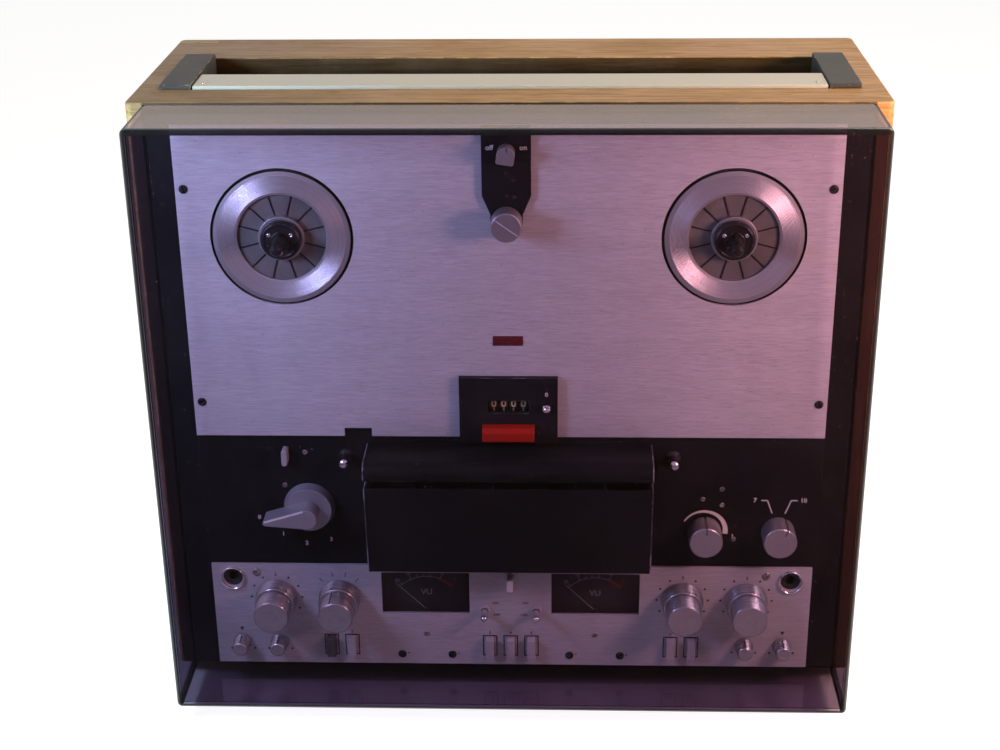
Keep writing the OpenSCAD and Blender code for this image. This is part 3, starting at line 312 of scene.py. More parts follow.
@dataclass(frozen=True)
class Satin(Finish):
    """Paint, moulded plastic, rubber or stove enamel with grit, dust and rubbed edges."""

    tint: Colour
    light: Colour
    rough: float = 0.5
    grit: float = 1500.0
    depth: float = 0.010
    dust: float = 0.2
    wear: float = 0.0
    bare: Colour = (0.30, 0.29, 0.30)
    gloss: float = 0.35

    def paint(self, shop: Shop) -> Sock:
        """Build the shader.

        Args:
            shop: the empty tree.

        Returns:
            Clouded colour with grit, lint and fine scratches, and rubbed edges where asked.
        """
        cloud = shop.noise(16.0, 5.0, 0.62)
        speck = shop.noise(self.grit, 2.0, 0.55)
        lint = shop.fade(shop.noise(360.0, 3.0, 0.62), 0.66, 0.74)
        upright = shop.stretched((700.0, 700.0, 16.0))
        scratch = shop.fade(shop.noise(1.0, 2.0, 0.5, upright, 0.2), 0.68, 0.74)
        tone = shop.blend(shop.fade(cloud, 0.32, 0.72), self.tint, self.light)
        tone = shop.blend(lint * self.dust, tone, LINT)
        rough = self.rough + (cloud - 0.5) * 0.20 + (speck - 0.5) * 0.12 + scratch * 0.10
        if self.wear:
            limit = 0.66 - 0.28 * self.wear
            rub = shop.fade(shop.noise(130.0, 5.0, 0.7), limit, limit + 0.08)
            tone = shop.blend(rub, tone, self.bare)
            rough = rough - rub * 0.12
        return shop.surface(Base_Color=tone, Roughness=rough, Specular_IOR_Level=self.gloss,
                            Normal=shop.bump(speck - scratch * 0.3, self.depth))


@dataclass(frozen=True)
class Brushed(Finish):
    """Satin sheet metal with its lines along one axis."""

    tint: Colour
    shade: Colour
    grain: str = "X"
    rough: float = 0.36
    depth: float = 0.004
    haze: float = 0.30
    metal: float = 0.14
    gloss: float = 0.30

    def paint(self, shop: Shop) -> Sock:
        """Build the shader.

        Args:
            shop: the empty tree.

        Returns:
            Brush lines and broad streaks under fingered haze and small dark specks.
        """
        line = shop.fade(shop.noise(1.0, 3.0, 0.6, shop.grained(self.grain, 110.0, 1250.0)), 0.24, 0.76)
        broad = shop.noise(1.0, 3.0, 0.5, shop.grained(self.grain, 2.0, 60.0))
        stain = shop.fade(shop.noise(10.0, 6.0, 0.62), 0.44, 0.74)
        speck = shop.fade(shop.noise(520.0, 2.0, 0.6), 0.72, 0.78)
        tone = shop.blend(line * 0.5 + broad * 0.5, self.shade, self.tint)
        tone = shop.blend(stain * self.haze, tone, HAZE)
        tone = shop.blend(speck * 0.35, tone, SPECK)
        rough = self.rough + (line - 0.5) * 0.20 + stain * 0.14
        return shop.surface(Base_Color=tone, Roughness=rough, Metallic=self.metal,
                            Specular_IOR_Level=self.gloss, Normal=shop.bump(line, self.depth))


@dataclass(frozen=True)
class Turned(Finish):
    """Metal from the lathe, with fine rings that follow its profile."""

    tint: Colour
    shade: Colour
    rough: float
    depth: float
    coarse: float
    metal: float
    smear: float = 0.30

    def paint(self, shop: Shop) -> Sock:
        """Build the shader.

        Args:
            shop: the empty tree.

        Returns:
            Tool rings and coarse rings under smears.
        """
        run = shop.node("ShaderNodeAttribute", {"attribute_name": "turning"}, out="Fac")
        fine = shop.rings(run, 5200.0)
        both = fine * 0.5 + shop.rings(run, self.coarse) * 0.5
        smear = shop.fade(shop.noise(60.0, 5.0, 0.6), 0.42, 0.75) * self.smear
        tone = shop.blend(smear, shop.blend(both, self.shade, self.tint), SMEAR)
        rough = self.rough + (fine - 0.5) * 0.16 + smear * 0.5
        return shop.surface(Base_Color=tone, Roughness=rough, Metallic=self.metal, Normal=shop.bump(both, self.depth))


@dataclass(frozen=True)
class Plated(Finish):
    """Bright or dulled plating with smears and pin specks."""

    tint: Colour = (0.82, 0.81, 0.80)
    rough: float = 0.14
    tarnish: float = 0.35

    def paint(self, shop: Shop) -> Sock:
        """Build the shader.

        Args:
            shop: the empty tree.

        Returns:
            Bright metal under its smears and specks.
        """
        smear = shop.fade(shop.noise(90.0, 5.0, 0.62), 0.42, 0.74)
        speck = shop.fade(shop.noise(800.0, 2.0, 0.6), 0.66, 0.74)
        tone = shop.blend(smear * self.tarnish, self.tint, TARNISH)
        tone = shop.blend(speck * self.tarnish, tone, PIN_SPECK)
        return shop.surface(Base_Color=tone, Roughness=self.rough + smear * 0.16 + speck * 0.2, Metallic=1.0,
                            Normal=shop.bump(smear - speck * 0.6, 0.006))


@dataclass(frozen=True)
class Clear(Finish):
    """Acrylic sheet: what each face lets through, a mirror gloss and a veil of dust."""

    tint: Colour
    veil: float
    dust: float = 0.0
    top: float = 0.0
    veil_tint: Colour = (0.330, 0.215, 0.150)
    specks: float = 0.0
    gloss: float = 0.025

    def paint(self, shop: Shop) -> Sock:
        """Build the shader.

        Args:
            shop: the empty tree.

        Returns:
            A clear sheet under a gloss that grows at grazing angles, then dust, most on top, and scuffs.
        """
        film = shop.fade(shop.noise(18.0, 6.0, 0.66), 0.40, 0.78)
        upright = shop.stretched((260.0, 260.0, 12.0))
        scuff = shop.fade(shop.noise(1.0, 3.0, 0.5, upright, 0.4), 0.66, 0.74)
        facing = shop.node("ShaderNodeLayerWeight", None, {"Blend": 0.5}, out="Facing")
        mirror = 0.0005 + shop.fade(facing, 0.15, 0.75) * 0.19
        straight, slanting = (shop.node("ShaderNodeBsdfTransparent", None, {"Color": tint})
                              for tint in (self.tint, tuple(c ** 2.5 for c in self.tint)))
        clear = shop.mixed(shop.fade(facing, 0.35, 1.0) * 0.8, straight, slanting)
        shine = shop.node("ShaderNodeBsdfGlossy", None, {
            "Color": (0.95, 0.95, 0.97), "Roughness": self.gloss, "Normal": shop.bump(shop.noise(9.0, 2.0), 0.10)})
        cell = shop.node("ShaderNodeTexVoronoi", None, {"Vector": shop.place(), "Scale": 130.0}, out="Distance")
        speck = 1.0 - shop.fade(cell, 0.035, 0.075)
        veil = self.veil + film * self.veil + scuff * self.veil * 1.5 + speck * self.specks
        if self.dust:
            lint = shop.fade(shop.noise(300.0, 3.0, 0.62), 0.58, 0.72)
            upper = shop.fade(shop.along("Z"), (self.top - 1.2) * MM, (self.top - 0.2) * MM)
            veil = veil + upper * (film * 0.18 + lint * 0.25 + 0.50) * self.dust
        dull = shop.surface(Base_Color=shop.blend(film, self.veil_tint, tuple(1.15 * c for c in self.veil_tint)),
                            Roughness=0.75 + film * 0.1)
        return shop.mixed(veil, shop.mixed(mirror, clear, shine), dull)


@dataclass(frozen=True)
class Ink(Finish):
    """Screen-printed ink with thin spots."""

    tint: Colour = (0.93, 0.91, 0.88)
    thin: Colour = (0.60, 0.58, 0.56)

    def paint(self, shop: Shop) -> Sock:
        """Ink of two thicknesses, built in an empty tree."""
        patch = shop.fade(shop.noise(420.0, 4.0, 0.66), 0.48, 0.72)
        return shop.surface(Base_Color=shop.blend(patch * 0.7, self.tint, self.thin),
                            Roughness=0.52 + patch * 0.2, Normal=shop.bump(shop.noise(1600.0, 2.0), 0.008))


@dataclass(frozen=True)
class Lens(Finish):
    """Moulded coloured lens with fine upright flutes."""

    tint: Colour = (0.070, 0.004, 0.009)
    glow: Colour = (0.170, 0.012, 0.016)

    def paint(self, shop: Shop) -> Sock:
        """Build the shader.

        Args:
            shop: the empty tree.

        Returns:
            Glossy fluted plastic.
        """
        flute = abs(shop.maths("SINE", shop.along("X") * 3600.0))
        cloud = shop.noise(120.0, 4.0, 0.6)
        return shop.surface(Base_Color=shop.blend(flute * 0.5 + cloud * 0.4, self.tint, self.glow),
                            Roughness=0.26 + cloud * 0.2, Coat_Weight=0.2, Coat_Roughness=0.10,
                            Normal=shop.bump(flute, 0.12))


@dataclass(frozen=True)
class Layered(Finish):
    """Stacked or wound material: fine lines across one axis, as laminations, turns or board traces."""

    tint: Colour
    line: Colour
    across: str
    pitch: float
    rough: float
    metal: float = 0.0

    def paint(self, shop: Shop) -> Sock:
        """Build the shader.

        Args:
            shop: the empty tree.

        Returns:
            Lines of two colours under a cloudy tone.
        """
        layer = shop.maths("SINE", shop.along(self.across) * (math.tau / (self.pitch * MM))) * 0.5 + 0.5
        cloud = shop.noise(45.0, 5.0, 0.62)
        return shop.surface(Base_Color=shop.blend(layer * 0.7 + cloud * 0.3, self.line, self.tint),
                            Roughness=self.rough + (cloud - 0.5) * 0.3, Metallic=self.metal,
                            Normal=shop.bump(layer + cloud * 0.3, 0.12))


WOOD_TOP = Veneer("veneer_top", "X", chip_x=-216.0)
WOOD_LONG = Veneer("veneer_long", "X")
WOOD_SIDE = Veneer("veneer_side", "Z")
WOOD_RUBBED = Veneer("veneer_rubbed", "X", wear=0.5)
WOOD_SIDE_RUBBED = Veneer("veneer_side_rubbed", "Z", wear=0.35)
# Painted shade: a near-black veneer for the handle slot's inner walls, where shade falls.
WOOD_SLOT_SHADE = Veneer("veneer_raw", "X", (0.085, 0.044, 0.018), (0.050, 0.026, 0.011), (0.120, 0.066, 0.028))
REAR_BLACK = Satin("rear_crackle", (0.022, 0.022, 0.023), (0.045, 0.044, 0.044), 0.62, 520.0, 0.10, 0.35)
BRACKET_BLACK = Satin("bracket_black", (0.020, 0.018, 0.018), (0.048, 0.042, 0.040), 0.60, 700.0, 0.03, 0.15,
                      gloss=0.2)
BRACKET_RUBBED = Satin("bracket_rubbed", (0.030, 0.026, 0.024), (0.06, 0.05, 0.044), 0.50, 700.0, 0.03, 0.2, 0.6,
                       (0.17, 0.14, 0.11), 0.03)
DECK_BLACK = Satin("deck_enamel", (0.007, 0.007, 0.009), (0.015, 0.015, 0.017), 0.50, 1100.0, 0.02, 0.25, gloss=0.09)
DECK_RUBBED = Satin("deck_rubbed", (0.030, 0.030, 0.034), (0.06, 0.06, 0.064), 0.44, 1100.0, 0.02, 0.4, 0.45)
PLATE_BLACK = Satin("escutcheon_black", (0.010, 0.009, 0.011), (0.020, 0.018, 0.021), 0.42, 1300.0, 0.012, 0.25,
                    gloss=0.12)
PLATE_RUBBED = Satin("escutcheon_rubbed", (0.02, 0.02, 0.022), (0.05, 0.05, 0.05), 0.36, 1300.0, 0.012, 0.3, 0.5)
HEAD_BLACK = Satin("head_cover_black", (0.005, 0.005, 0.006), (0.011, 0.011, 0.012), 0.46, gloss=0.12)
HEAD_RUBBED = Satin("head_cover_rubbed", (0.02, 0.02, 0.022), (0.05, 0.05, 0.052), 0.38, dust=0.3, wear=0.7)
METER_BLACK = Satin("meter_black", (0.042, 0.038, 0.043), (0.064, 0.058, 0.064), 0.55, gloss=0.2)
CAP_BLACK = Satin("cap_black", (0.012, 0.011, 0.012), (0.026, 0.024, 0.025), 0.36, depth=0.012, dust=0.5, gloss=0.25)
RUBBER = Satin("rubber", (0.020, 0.019, 0.019), (0.036, 0.034, 0.033), 0.82, 600.0, 0.06, 0.40)
SOCKET_BLACK = Satin("socket_black", (0.012, 0.012, 0.012), (0.026, 0.026, 0.026), 0.48, 1200.0, 0.02)
SOCKET_RED = Satin("socket_red", (0.32, 0.020, 0.016), (0.42, 0.035, 0.028), 0.42, 1200.0, 0.02, 0.15)
SOCKET_WHITE = Satin("socket_white", (0.62, 0.60, 0.54), (0.72, 0.70, 0.64), 0.42, 1200.0, 0.02, 0.15)
RECORD_RED = Satin("record_red", (0.40, 0.012, 0.007), (0.50, 0.020, 0.010), 0.46, depth=0.012, dust=0.06, gloss=0.2)
RECORD_RUBBED = Satin("record_rubbed", (0.38, 0.014, 0.008), (0.52, 0.03, 0.014), 0.36, 1500.0, 0.012, 0.1, 0.3,
                      (0.60, 0.10, 0.06), 0.15)
BUTTON_GREY = Satin("button_grey", (0.42, 0.40, 0.42), (0.52, 0.50, 0.52), 0.36)
BUTTON_PALE = Satin("button_pale", (0.66, 0.64, 0.65), (0.76, 0.74, 0.75), 0.36)
BUTTON_DARK = Satin("button_dark", (0.060, 0.058, 0.062), (0.10, 0.096, 0.10), 0.38)
FELT = Satin("felt_ring", (0.12, 0.113, 0.108), (0.20, 0.19, 0.18), 0.75, 420.0, 0.14, 0.15, gloss=0.1)
SCREW_BLACK = Satin("screw_black", (0.014, 0.013, 0.015), (0.030, 0.028, 0.030), 0.40, 900.0, 0.02, gloss=0.25)
NEEDLE = Satin("needle_cream", (0.38, 0.30, 0.25), (0.48, 0.38, 0.32), depth=0.008, dust=0.1)
WHEEL_DARK = Satin("wheel_dark", (0.020, 0.016, 0.013), (0.036, 0.030, 0.024), grit=1400.0)
CONE = Satin("cone_paper", (0.022, 0.021, 0.020), (0.045, 0.043, 0.040), 0.9, 800.0, 0.12, 0.3)
TRIM_METAL = Brushed("trim_plate_satin", (0.78, 0.77, 0.78), (0.48, 0.47, 0.48))
PANEL_METAL = Brushed("panel_satin", (0.66, 0.64, 0.65), (0.42, 0.40, 0.41), rough=0.40)
PLATE_EDGE = Brushed("plate_edge", (0.80, 0.79, 0.80), (0.62, 0.61, 0.62), rough=0.28, metal=0.4, gloss=0.5)
BAR_METAL = Brushed("handle_satin", (0.46, 0.42, 0.36), (0.37, 0.335, 0.28), rough=0.46, haze=0.40, metal=0.25)
STEEL = Brushed("zinc_steel", (0.50, 0.51, 0.51), (0.34, 0.345, 0.35), rough=0.42, haze=0.6, metal=0.5, gloss=0.5)
PLATTER = Turned("platter_turned", (0.54, 0.53, 0.535), (0.36, 0.35, 0.36), 0.36, 0.006, 700.0, 0.70, 0.15)
KNOB = Turned("knob_turned", (0.50, 0.49, 0.49), (0.34, 0.33, 0.34), 0.28, 0.002, 1100.0, 0.85, 0.06)
KNOB_DULL = Turned("selector_turned", (0.44, 0.42, 0.43), (0.32, 0.30, 0.32), 0.36, 0.004, 1100.0, 0.6, 0.15)
POINTER = Turned("pointer_satin", (0.40, 0.39, 0.41), (0.30, 0.29, 0.31), 0.36, 0.002, 1100.0, 0.4, 0.2)
MOTOR = Turned("motor_can", (0.40, 0.40, 0.41), (0.22, 0.22, 0.23), 0.42, 0.02, 300.0, 0.8)
CHROME = Plated("chrome")
SCREW_STEEL = Plated("screw_steel", (0.36, 0.33, 0.30), 0.26, 0.55)
SOCKET_METAL = Plated("socket_nickel", (0.66, 0.63, 0.58), 0.22, 0.4)
CAPSTAN_STEEL = Plated("capstan_steel", (0.66, 0.66, 0.66), 0.16, 0.25)
SMOKE = Clear("smoked_acrylic", (0.775, 0.705, 0.800), 0.003, 0.55, 431.0, specks=0.22)
SMOKE_EDGE = Clear("smoked_edge", (0.06, 0.045, 0.06), 0.12, 0.10, 431.0, (0.012, 0.009, 0.012))
WINDOW = Clear("meter_window", (0.97, 0.97, 0.97), 0.010)
INK_LIGHT = Ink("ink_light")
INK_DARK = Ink("ink_dark", (0.040, 0.034, 0.040), (0.12, 0.11, 0.12))
INK_CREAM = Ink("ink_cream", (0.95, 0.80, 0.48), (0.80, 0.60, 0.30))
INK_DIM = Ink("ink_dim", (0.34, 0.32, 0.30), (0.22, 0.21, 0.20))
INK_RED = Ink("ink_red", (0.32, 0.030, 0.020), (0.22, 0.03, 0.025))
PILOT = Lens("pilot_lens")
IRON = Layered("iron_stack", (0.17, 0.17, 0.18), (0.06, 0.06, 0.065), "Y", 0.7, 0.55, 0.5)
BOARD = Layered("board_green", (0.055, 0.130, 0.045), (0.030, 0.085, 0.028), "Z", 3.0, 0.45)


# Modelling by hand, with Blender's operators. Places and sizes are in millimetres.


class Way(Enum):
    """The way a turned or pressed piece grows: its axis, and the side its profile lies on."""

    FRONT = ((0, -1, 0), (1, 0, 0))
    BACK = ((0, 1, 0), (-1, 0, 0))
    UP = ((0, 0, 1), (1, 0, 0))
    DOWN = ((0, 0, -1), (-1, 0, 0))

    @property
    def axis(self) -> Vector:
        """The direction of growth."""
        return Vector(self.value[0])

    @property
    def side(self) -> Vector:
        """The direction of a profile's radius or an outline's first coordinate."""
        return Vector(self.value[1])

    @property
    def up(self) -> Vector:
        """The direction of an outline's second coordinate."""
        return self.axis.cross(self.side)


class Pick(Enum):
    """What a selection in edit mode holds, as Blender's select mode."""

    POINTS = (True, False, False)
    EDGES = (False, True, False)
    FACES = (False, False, True)


@dataclass(frozen=True)
class Extent:
    """A box in millimetres."""

    low: Vector
    high: Vector

    @classmethod
    def of(cls, node: str) -> "Extent":
        """The box of a CAD node at rest."""
        low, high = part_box(node)
        return cls(low / MM, high / MM)

    @classmethod
    def holding(cls, points: Sequence[Vector]) -> "Extent":
        """The least box round some places."""
        return cls(*(Vector([end(p[i] for p in points) for i in range(3)]) for end in (min, max)))

    @classmethod
    def around(cls, piece: Piece) -> "Extent":
        """The box of a mesh object at the origin."""
        return cls.holding([v.co / MM for v in piece.data.vertices])

    @property
    def mid(self) -> Vector:
        """Its middle."""
        return (self.low + self.high) / 2

    @property
    def size(self) -> Vector:
        """Its lengths."""
        return self.high - self.low


def clock(turn: float, radius: float) -> Vector:
    """A place on a circle that faces the front: degrees clockwise from upright, and the radius."""
    return Vector((radius * math.sin(math.radians(turn)), 0, radius * math.cos(math.radians(turn))))


def deselect() -> None:
    """Leave edit mode and deselect everything."""
    if bpy.context.mode != "OBJECT":
        bpy.ops.object.mode_set(mode="OBJECT")
    bpy.ops.object.select_all(action="DESELECT")


def select(piece: Piece) -> None:
    """Select one object alone.

    Args:
        piece: the object.
    """
    deselect()
    piece.select_set(True)
    bpy.context.view_layer.objects.active = piece


def named(name: str) -> Piece:
    """Name the object that was just added.

    Args:
        name: its name, and that of its data.

    Returns:
        The object.
    """
    piece = bpy.context.active_object
    piece.name = piece.data.name = name
    return piece


def settle(piece: Piece) -> Piece:
    """Leave edit mode and put an object's place into its mesh.

    Args:
        piece: the object.

    Returns:
        The object, at the origin.
    """
    select(piece)
    bpy.ops.object.transform_apply(location=True, rotation=True, scale=True)
    return piece


def smooth(piece: Piece, angle: float = 32.0) -> Piece:
    """Shade a piece smooth.

    Args:
        piece: the mesh.
        angle: edges sharper than this, in degrees, stay sharp.

    Returns:
        The piece.
    """
    select(piece)
    bpy.ops.object.shade_smooth_by_angle(angle=math.radians(angle))
    flat = piece.modifiers.new("flat_faces", "WEIGHTED_NORMAL")
    flat.keep_sharp = True
    bpy.ops.object.modifier_apply(modifier=flat.name)
    return piece


def block(name: str, low: Sequence[float], high: Sequence[float]) -> Piece:
    """A box between two corners.

    Args:
        name: the object's name.
        low: its lowest corner.
        high: its highest corner.

    Returns:
        The box, its place in its mesh.
    """
    deselect()
    a, b = Vector(low), Vector(high)
    bpy.ops.mesh.primitive_cube_add(size=1.0, location=(a + b) * (MM / 2))
    piece = named(name)
    piece.scale = (b - a) * MM
    return settle(piece)


def soft_bar(name: str, at: Vector, low: Sequence[float], high: Sequence[float], edge: float,
             turn: float = 0.0) -> Piece:
    """A softened bar between two corners, turned about the front axis through a place.

    Args:
        name: the object's name.
        at: the place.
        low: the lowest corner, from the place.
        high: the highest corner, from the place.
        edge: how far its edges are bevelled.
        turn: degrees, anticlockwise.

    Returns:
        The bar.
    """
    made = softened(block(name, at + Vector(low), at + Vector(high)), edge)
    return spun(made, turn, at) if turn else made


def chain(name: str, points: Sequence[Vector]) -> Piece:
    """A run of edges drawn by extruding one vertex; it stays in edit mode, all selected.

    Args:
        name: the object's name.
        points: the places it passes.

    Returns:
        The object.
    """
    deselect()
    bpy.ops.mesh.primitive_plane_add(size=MM, location=points[0] * MM)
    piece = named(name)
    bpy.context.tool_settings.mesh_select_mode = Pick.POINTS.value
    bpy.ops.object.mode_set(mode="EDIT")
    bpy.ops.mesh.select_all(action="SELECT")
    bpy.ops.mesh.merge(type="CENTER")
    for here, there in zip(points, points[1:]):
        bpy.ops.mesh.extrude_region_move(TRANSFORM_OT_translate={"value": (there - here) * MM})
    bpy.ops.mesh.select_all(action="SELECT")
    return piece


def eased(profile: Profile, edge: float) -> list[Point]:
    """Round the corners of a profile.

    Args:
        profile: points of radius and height.
        edge: how far back each corner is cut.

    Returns:
        The profile with three points for each corner.
    """
    made = [Vector(profile[0])]
    for before, here, after in zip(profile, profile[1:], profile[2:]):
        corner = Vector(here)
        back, on = Vector(before) - corner, Vector(after) - corner
        cutback = min(edge, back.length * 0.45, on.length * 0.45)
        if cutback < 0.01 or back.angle(on, math.pi) > 2.9:
            made.append(corner)
            continue
        back, on = back.normalized() * cutback, on.normalized() * cutback
        made += [corner + back, corner + (back + on) * 0.29, corner + on]
    made.append(Vector(profile[-1]))
    return [(p.x, p.y) for p in made]


def grooved(a: Point, b: Point, pitch: float, depth: float) -> list[Point]:
    """A straight run of a profile with fine tool grooves.

    Args:
        a: its first point, of radius and height.
        b: its last point.
        pitch: the grooves' spacing.
        depth: how deep they go.

    Returns:
        The points of the run, both ends included.
    """
    start, run = Vector(a), Vector(b) - Vector(a)
    count = max(2, round(run.length / pitch))
    inward = Vector((-run.y, run.x)).normalized() * depth
    made = [a]
    for i in range(count):
        made.append(tuple(start + run * ((i + 0.5) / count) + inward))
        made.append(tuple(start + run * ((i + 1) / count)))
    return made


def turned(name: str, profile: Profile, at: Vector, way: Way = Way.FRONT, edge: float = 0.3,
           steps: int = 56, angle: float = 32.0) -> Piece:
    """A piece from the lathe.

    Args:
        name: the object's name.
        profile: points of radius and height along the axis, from back to front.
        at: where the axis starts.
        way: the way it grows.
        edge: how far its corners are rounded.
        steps: faces round it.
        angle: corners blunter than this are shaded smooth.

    Returns:
        The closed, smoothed piece, with its lathe rings marked.
    """
    points = [at + way.side * r + way.axis * h for r, h in eased(profile, edge)]
    piece = chain(name, points)
    bpy.ops.mesh.spin(steps=steps, angle=math.tau, center=at * MM, axis=way.axis)
    bpy.ops.mesh.select_all(action="SELECT")
    bpy.ops.mesh.remove_doubles(threshold=WELD)
    bpy.ops.mesh.normals_make_consistent(inside=False)
    settle(piece)
    return ringed(smooth(piece, angle), at, way)


def ringed(piece: Piece, at: Vector, way: Way = Way.FRONT) -> Piece:
    """Mark on each vertex how far along a lathe's profile it lies.

    Args:
        piece: the mesh.
        at: a place on the lathe's axis.
        way: the axis.

    Returns:
        The piece.
    """
    marks = piece.data.attributes
    run = marks.get("turning") or marks.new("turning", "FLOAT", "POINT")
    for vertex, mark in zip(piece.data.vertices, run.data):
        arm = vertex.co - at * MM
        height = arm.dot(way.axis)
        mark.value = (arm - way.axis * height).length + height
    return piece


def pressed(name: str, outline: Profile, at: Vector, depth: float, way: Way = Way.FRONT) -> Piece:
    """A flat piece of an outline, given its thickness.

    Args:
        name: the object's name.
        outline: its corners, in order.
        at: the origin of those, on the back of the piece.
        depth: how far it is extruded.
        way: the way it is extruded.

    Returns:
        The closed piece.
    """
    piece = chain(name, [at + way.side * u + way.up * v for u, v in [*outline, outline[0]]])
    bpy.ops.mesh.remove_doubles(threshold=WELD)
    bpy.ops.mesh.edge_face_add()
    bpy.ops.mesh.extrude_region_move(TRANSFORM_OT_translate={"value": way.axis * depth * MM})
    bpy.ops.mesh.select_all(action="SELECT")
    bpy.ops.mesh.normals_make_consistent(inside=False)
    return settle(piece)


def pick(piece: Piece, kind: Pick, test: Test) -> None:
    """Enter edit mode with only some edges or faces selected.

    Args:
        piece: the mesh.
        kind: edges or faces.
        test: says if an edge, by its two ends, or a face, by its middle and normal, is picked.
    """
    select(piece)
    bpy.ops.object.mode_set(mode="EDIT")
    bpy.ops.mesh.select_all(action="DESELECT")
    bpy.ops.object.mode_set(mode="OBJECT")
    bpy.context.tool_settings.mesh_select_mode = kind.value
    mesh = piece.data
    if kind is Pick.FACES:
        for face in mesh.polygons:
            face.select = test(face.center / MM, face.normal)
    else:
        for edge in mesh.edges:
            a, b = (mesh.vertices[i].co / MM for i in edge.vertices)
            edge.select = test(a, b)
    bpy.ops.object.mode_set(mode="EDIT")


def slots(piece: Piece, count: int) -> None:
    """Give a mesh that many material slots, each with a stand-in until the piece is dressed.

    Args:
        piece: the mesh.
        count: how many it has in the end.
    """
    for i in range(len(piece.data.materials), count):
        name = f"slot_{i}"
        piece.data.materials.append(bpy.data.materials.get(name) or bpy.data.materials.new(name))


def repaint(piece: Piece, slot: int, test: Test) -> Piece:
    """Put some faces in a material slot.

    Args:
        piece: the mesh.
        slot: the slot's number.
        test: says by its middle and normal if a face is one of them.

    Returns:
        The piece.
    """
    pick(piece, Pick.FACES, test)
    bpy.ops.object.mode_set(mode="OBJECT")
    slots(piece, slot + 1)
    for face in piece.data.polygons:
        if face.select:
            face.material_index = slot
    return piece


def rounded(piece: Piece, width: float, segments: int, test: Test) -> None:
    """Bevel the edges that pass a test, and put the new faces in the second slot.

    Args:
        piece: the mesh.
        width: the bevel's width.
        segments: its steps.
        test: says by its two ends if an edge is bevelled.
    """
    slots(piece, 2)
    pick(piece, Pick.EDGES, test)
    bpy.ops.mesh.bevel(offset=width * MM, segments=segments, affect="EDGES", material=1)
    bpy.ops.object.mode_set(mode="OBJECT")


def softened(piece: Piece, width: float, segments: int = 2, angle: float = 28.0) -> Piece:
    """Bevel every edge sharper than an angle; the new faces go in the second slot.

    Args:
        piece: the mesh.
        width: the bevel's width; 0 leaves the edges sharp.
        segments: its steps.
        angle: the least angle, in degrees.

    Returns:
        The piece, smoothed.
    """
    if width:
        slots(piece, 2)
        select(piece)
        bevel = piece.modifiers.new("edges", "BEVEL")
        bevel.width, bevel.segments, bevel.material = width * MM, segments, 1
        bevel.limit_method, bevel.angle_limit = "ANGLE", math.radians(angle)
        bpy.ops.object.modifier_apply(modifier=bevel.name)
    return smooth(piece)


def refined(node: str, name: str, edge: float, segments: int = 2) -> Piece:
    """A merged copy of a CAD node with its edges softened.

    Args:
        node: the CAD node.
        name: the copy's name.
        edge: the bevel's width.
        segments: the bevel's steps.

    Returns:
        The copy.
    """
    mesh = frame["nodes"][node].data.copy()
    mesh.materials.clear()
    mesh.name = name
    piece = bpy.data.objects.new(name, mesh)
    bpy.context.scene.collection.objects.link(piece)
    select(piece)
    bpy.ops.object.mode_set(mode="EDIT")
    bpy.ops.mesh.select_all(action="SELECT")
    bpy.ops.mesh.remove_doubles(threshold=WELD)
    bpy.ops.mesh.dissolve_limited(angle_limit=math.radians(0.6))
    bpy.ops.object.mode_set(mode="OBJECT")
    return softened(piece, edge, segments)


def loose(node: str, edge: float = 0.0, segments: int = 2) -> list[Piece]:
    """The separate solids of a softened copy of a CAD node.

    Args:
        node: the CAD node.
        edge: the bevel's width.
        segments: the bevel's steps.

    Returns:
        The solids from left to right, then from low to high.
    """
    select(refined(node, "part", edge, segments))
    bpy.ops.mesh.separate(type="LOOSE")
    parts = list(bpy.context.selected_objects)
    deselect()

    def order(part: Piece) -> Triple:
        """Where a solid comes in the row."""
        mid = Extent.around(part).mid
        return (round(mid.x, 1), round(mid.z, 1), round(mid.y, 1))

    return sorted(parts, key=order)


def stacked(node: str, edge: float) -> list[Piece]:
    """The same solids from low to high."""
    return sorted(loose(node, edge, 3), key=lambda part: Extent.around(part).mid.z)


def solid_boxes(node: str) -> list[Extent]:
    """The box of each separate solid of a CAD node, from left to right."""
    return [measured(part) for part in loose(node)]


def measured(part: Piece) -> Extent:
    """Measure a plain solid that a better piece takes the place of.

    Args:
        part: the solid, which is thrown away.

    Returns:
        Its box.
    """
    box = Extent.around(part)
    bpy.data.objects.remove(part)
    return box


def moved(piece: Piece, shift: Sequence[float]) -> Piece:
    """Move a mesh, and return it."""
    piece.location = Vector(shift) * MM
    return settle(piece)


def spun(piece: Piece, angle: float, at: Vector, axis: str = "Y") -> Piece:
    """Turn a mesh about an axis through a place.

    Args:
        piece: the mesh.
        angle: degrees; anticlockwise as seen from the front where the axis is Y.
        at: a place on the axis.
        axis: X, Y or Z.

    Returns:
        The piece.
    """
    sign = -1.0 if axis == "Y" else 1.0
    centre = Matrix.Translation(at * MM)
    turn = Matrix.Rotation(sign * math.radians(angle), 4, axis)
    piece.matrix_world = centre @ turn @ centre.inverted()
    return settle(piece)


def turned_copies(piece: Piece, turns: Sequence[float], at: Vector) -> list[Piece]:
    """Copies of a piece, each turned about the front axis through a place.

    Args:
        piece: the piece, which is thrown away.
        turns: each copy's turn in degrees, anticlockwise.
        at: the place.

    Returns:
        The copies, each with a mesh of its own.
    """
    made = []
    for turn in turns:
        copy = piece.copy()
        copy.data = piece.data.copy()
        bpy.context.scene.collection.objects.link(copy)
        made.append(spun(copy, turn, at))
    bpy.data.objects.remove(piece)
    return made


def joined(name: str, parts: Sequence[Piece]) -> Piece:
    """Several meshes made into one object.

    Args:
        name: the object's name.
        parts: the meshes.

    Returns:
        The object.
    """
    select(parts[0])
    for part in parts:
        part.select_set(True)
    if len(parts) > 1:
        bpy.ops.object.join()
    return named(name)


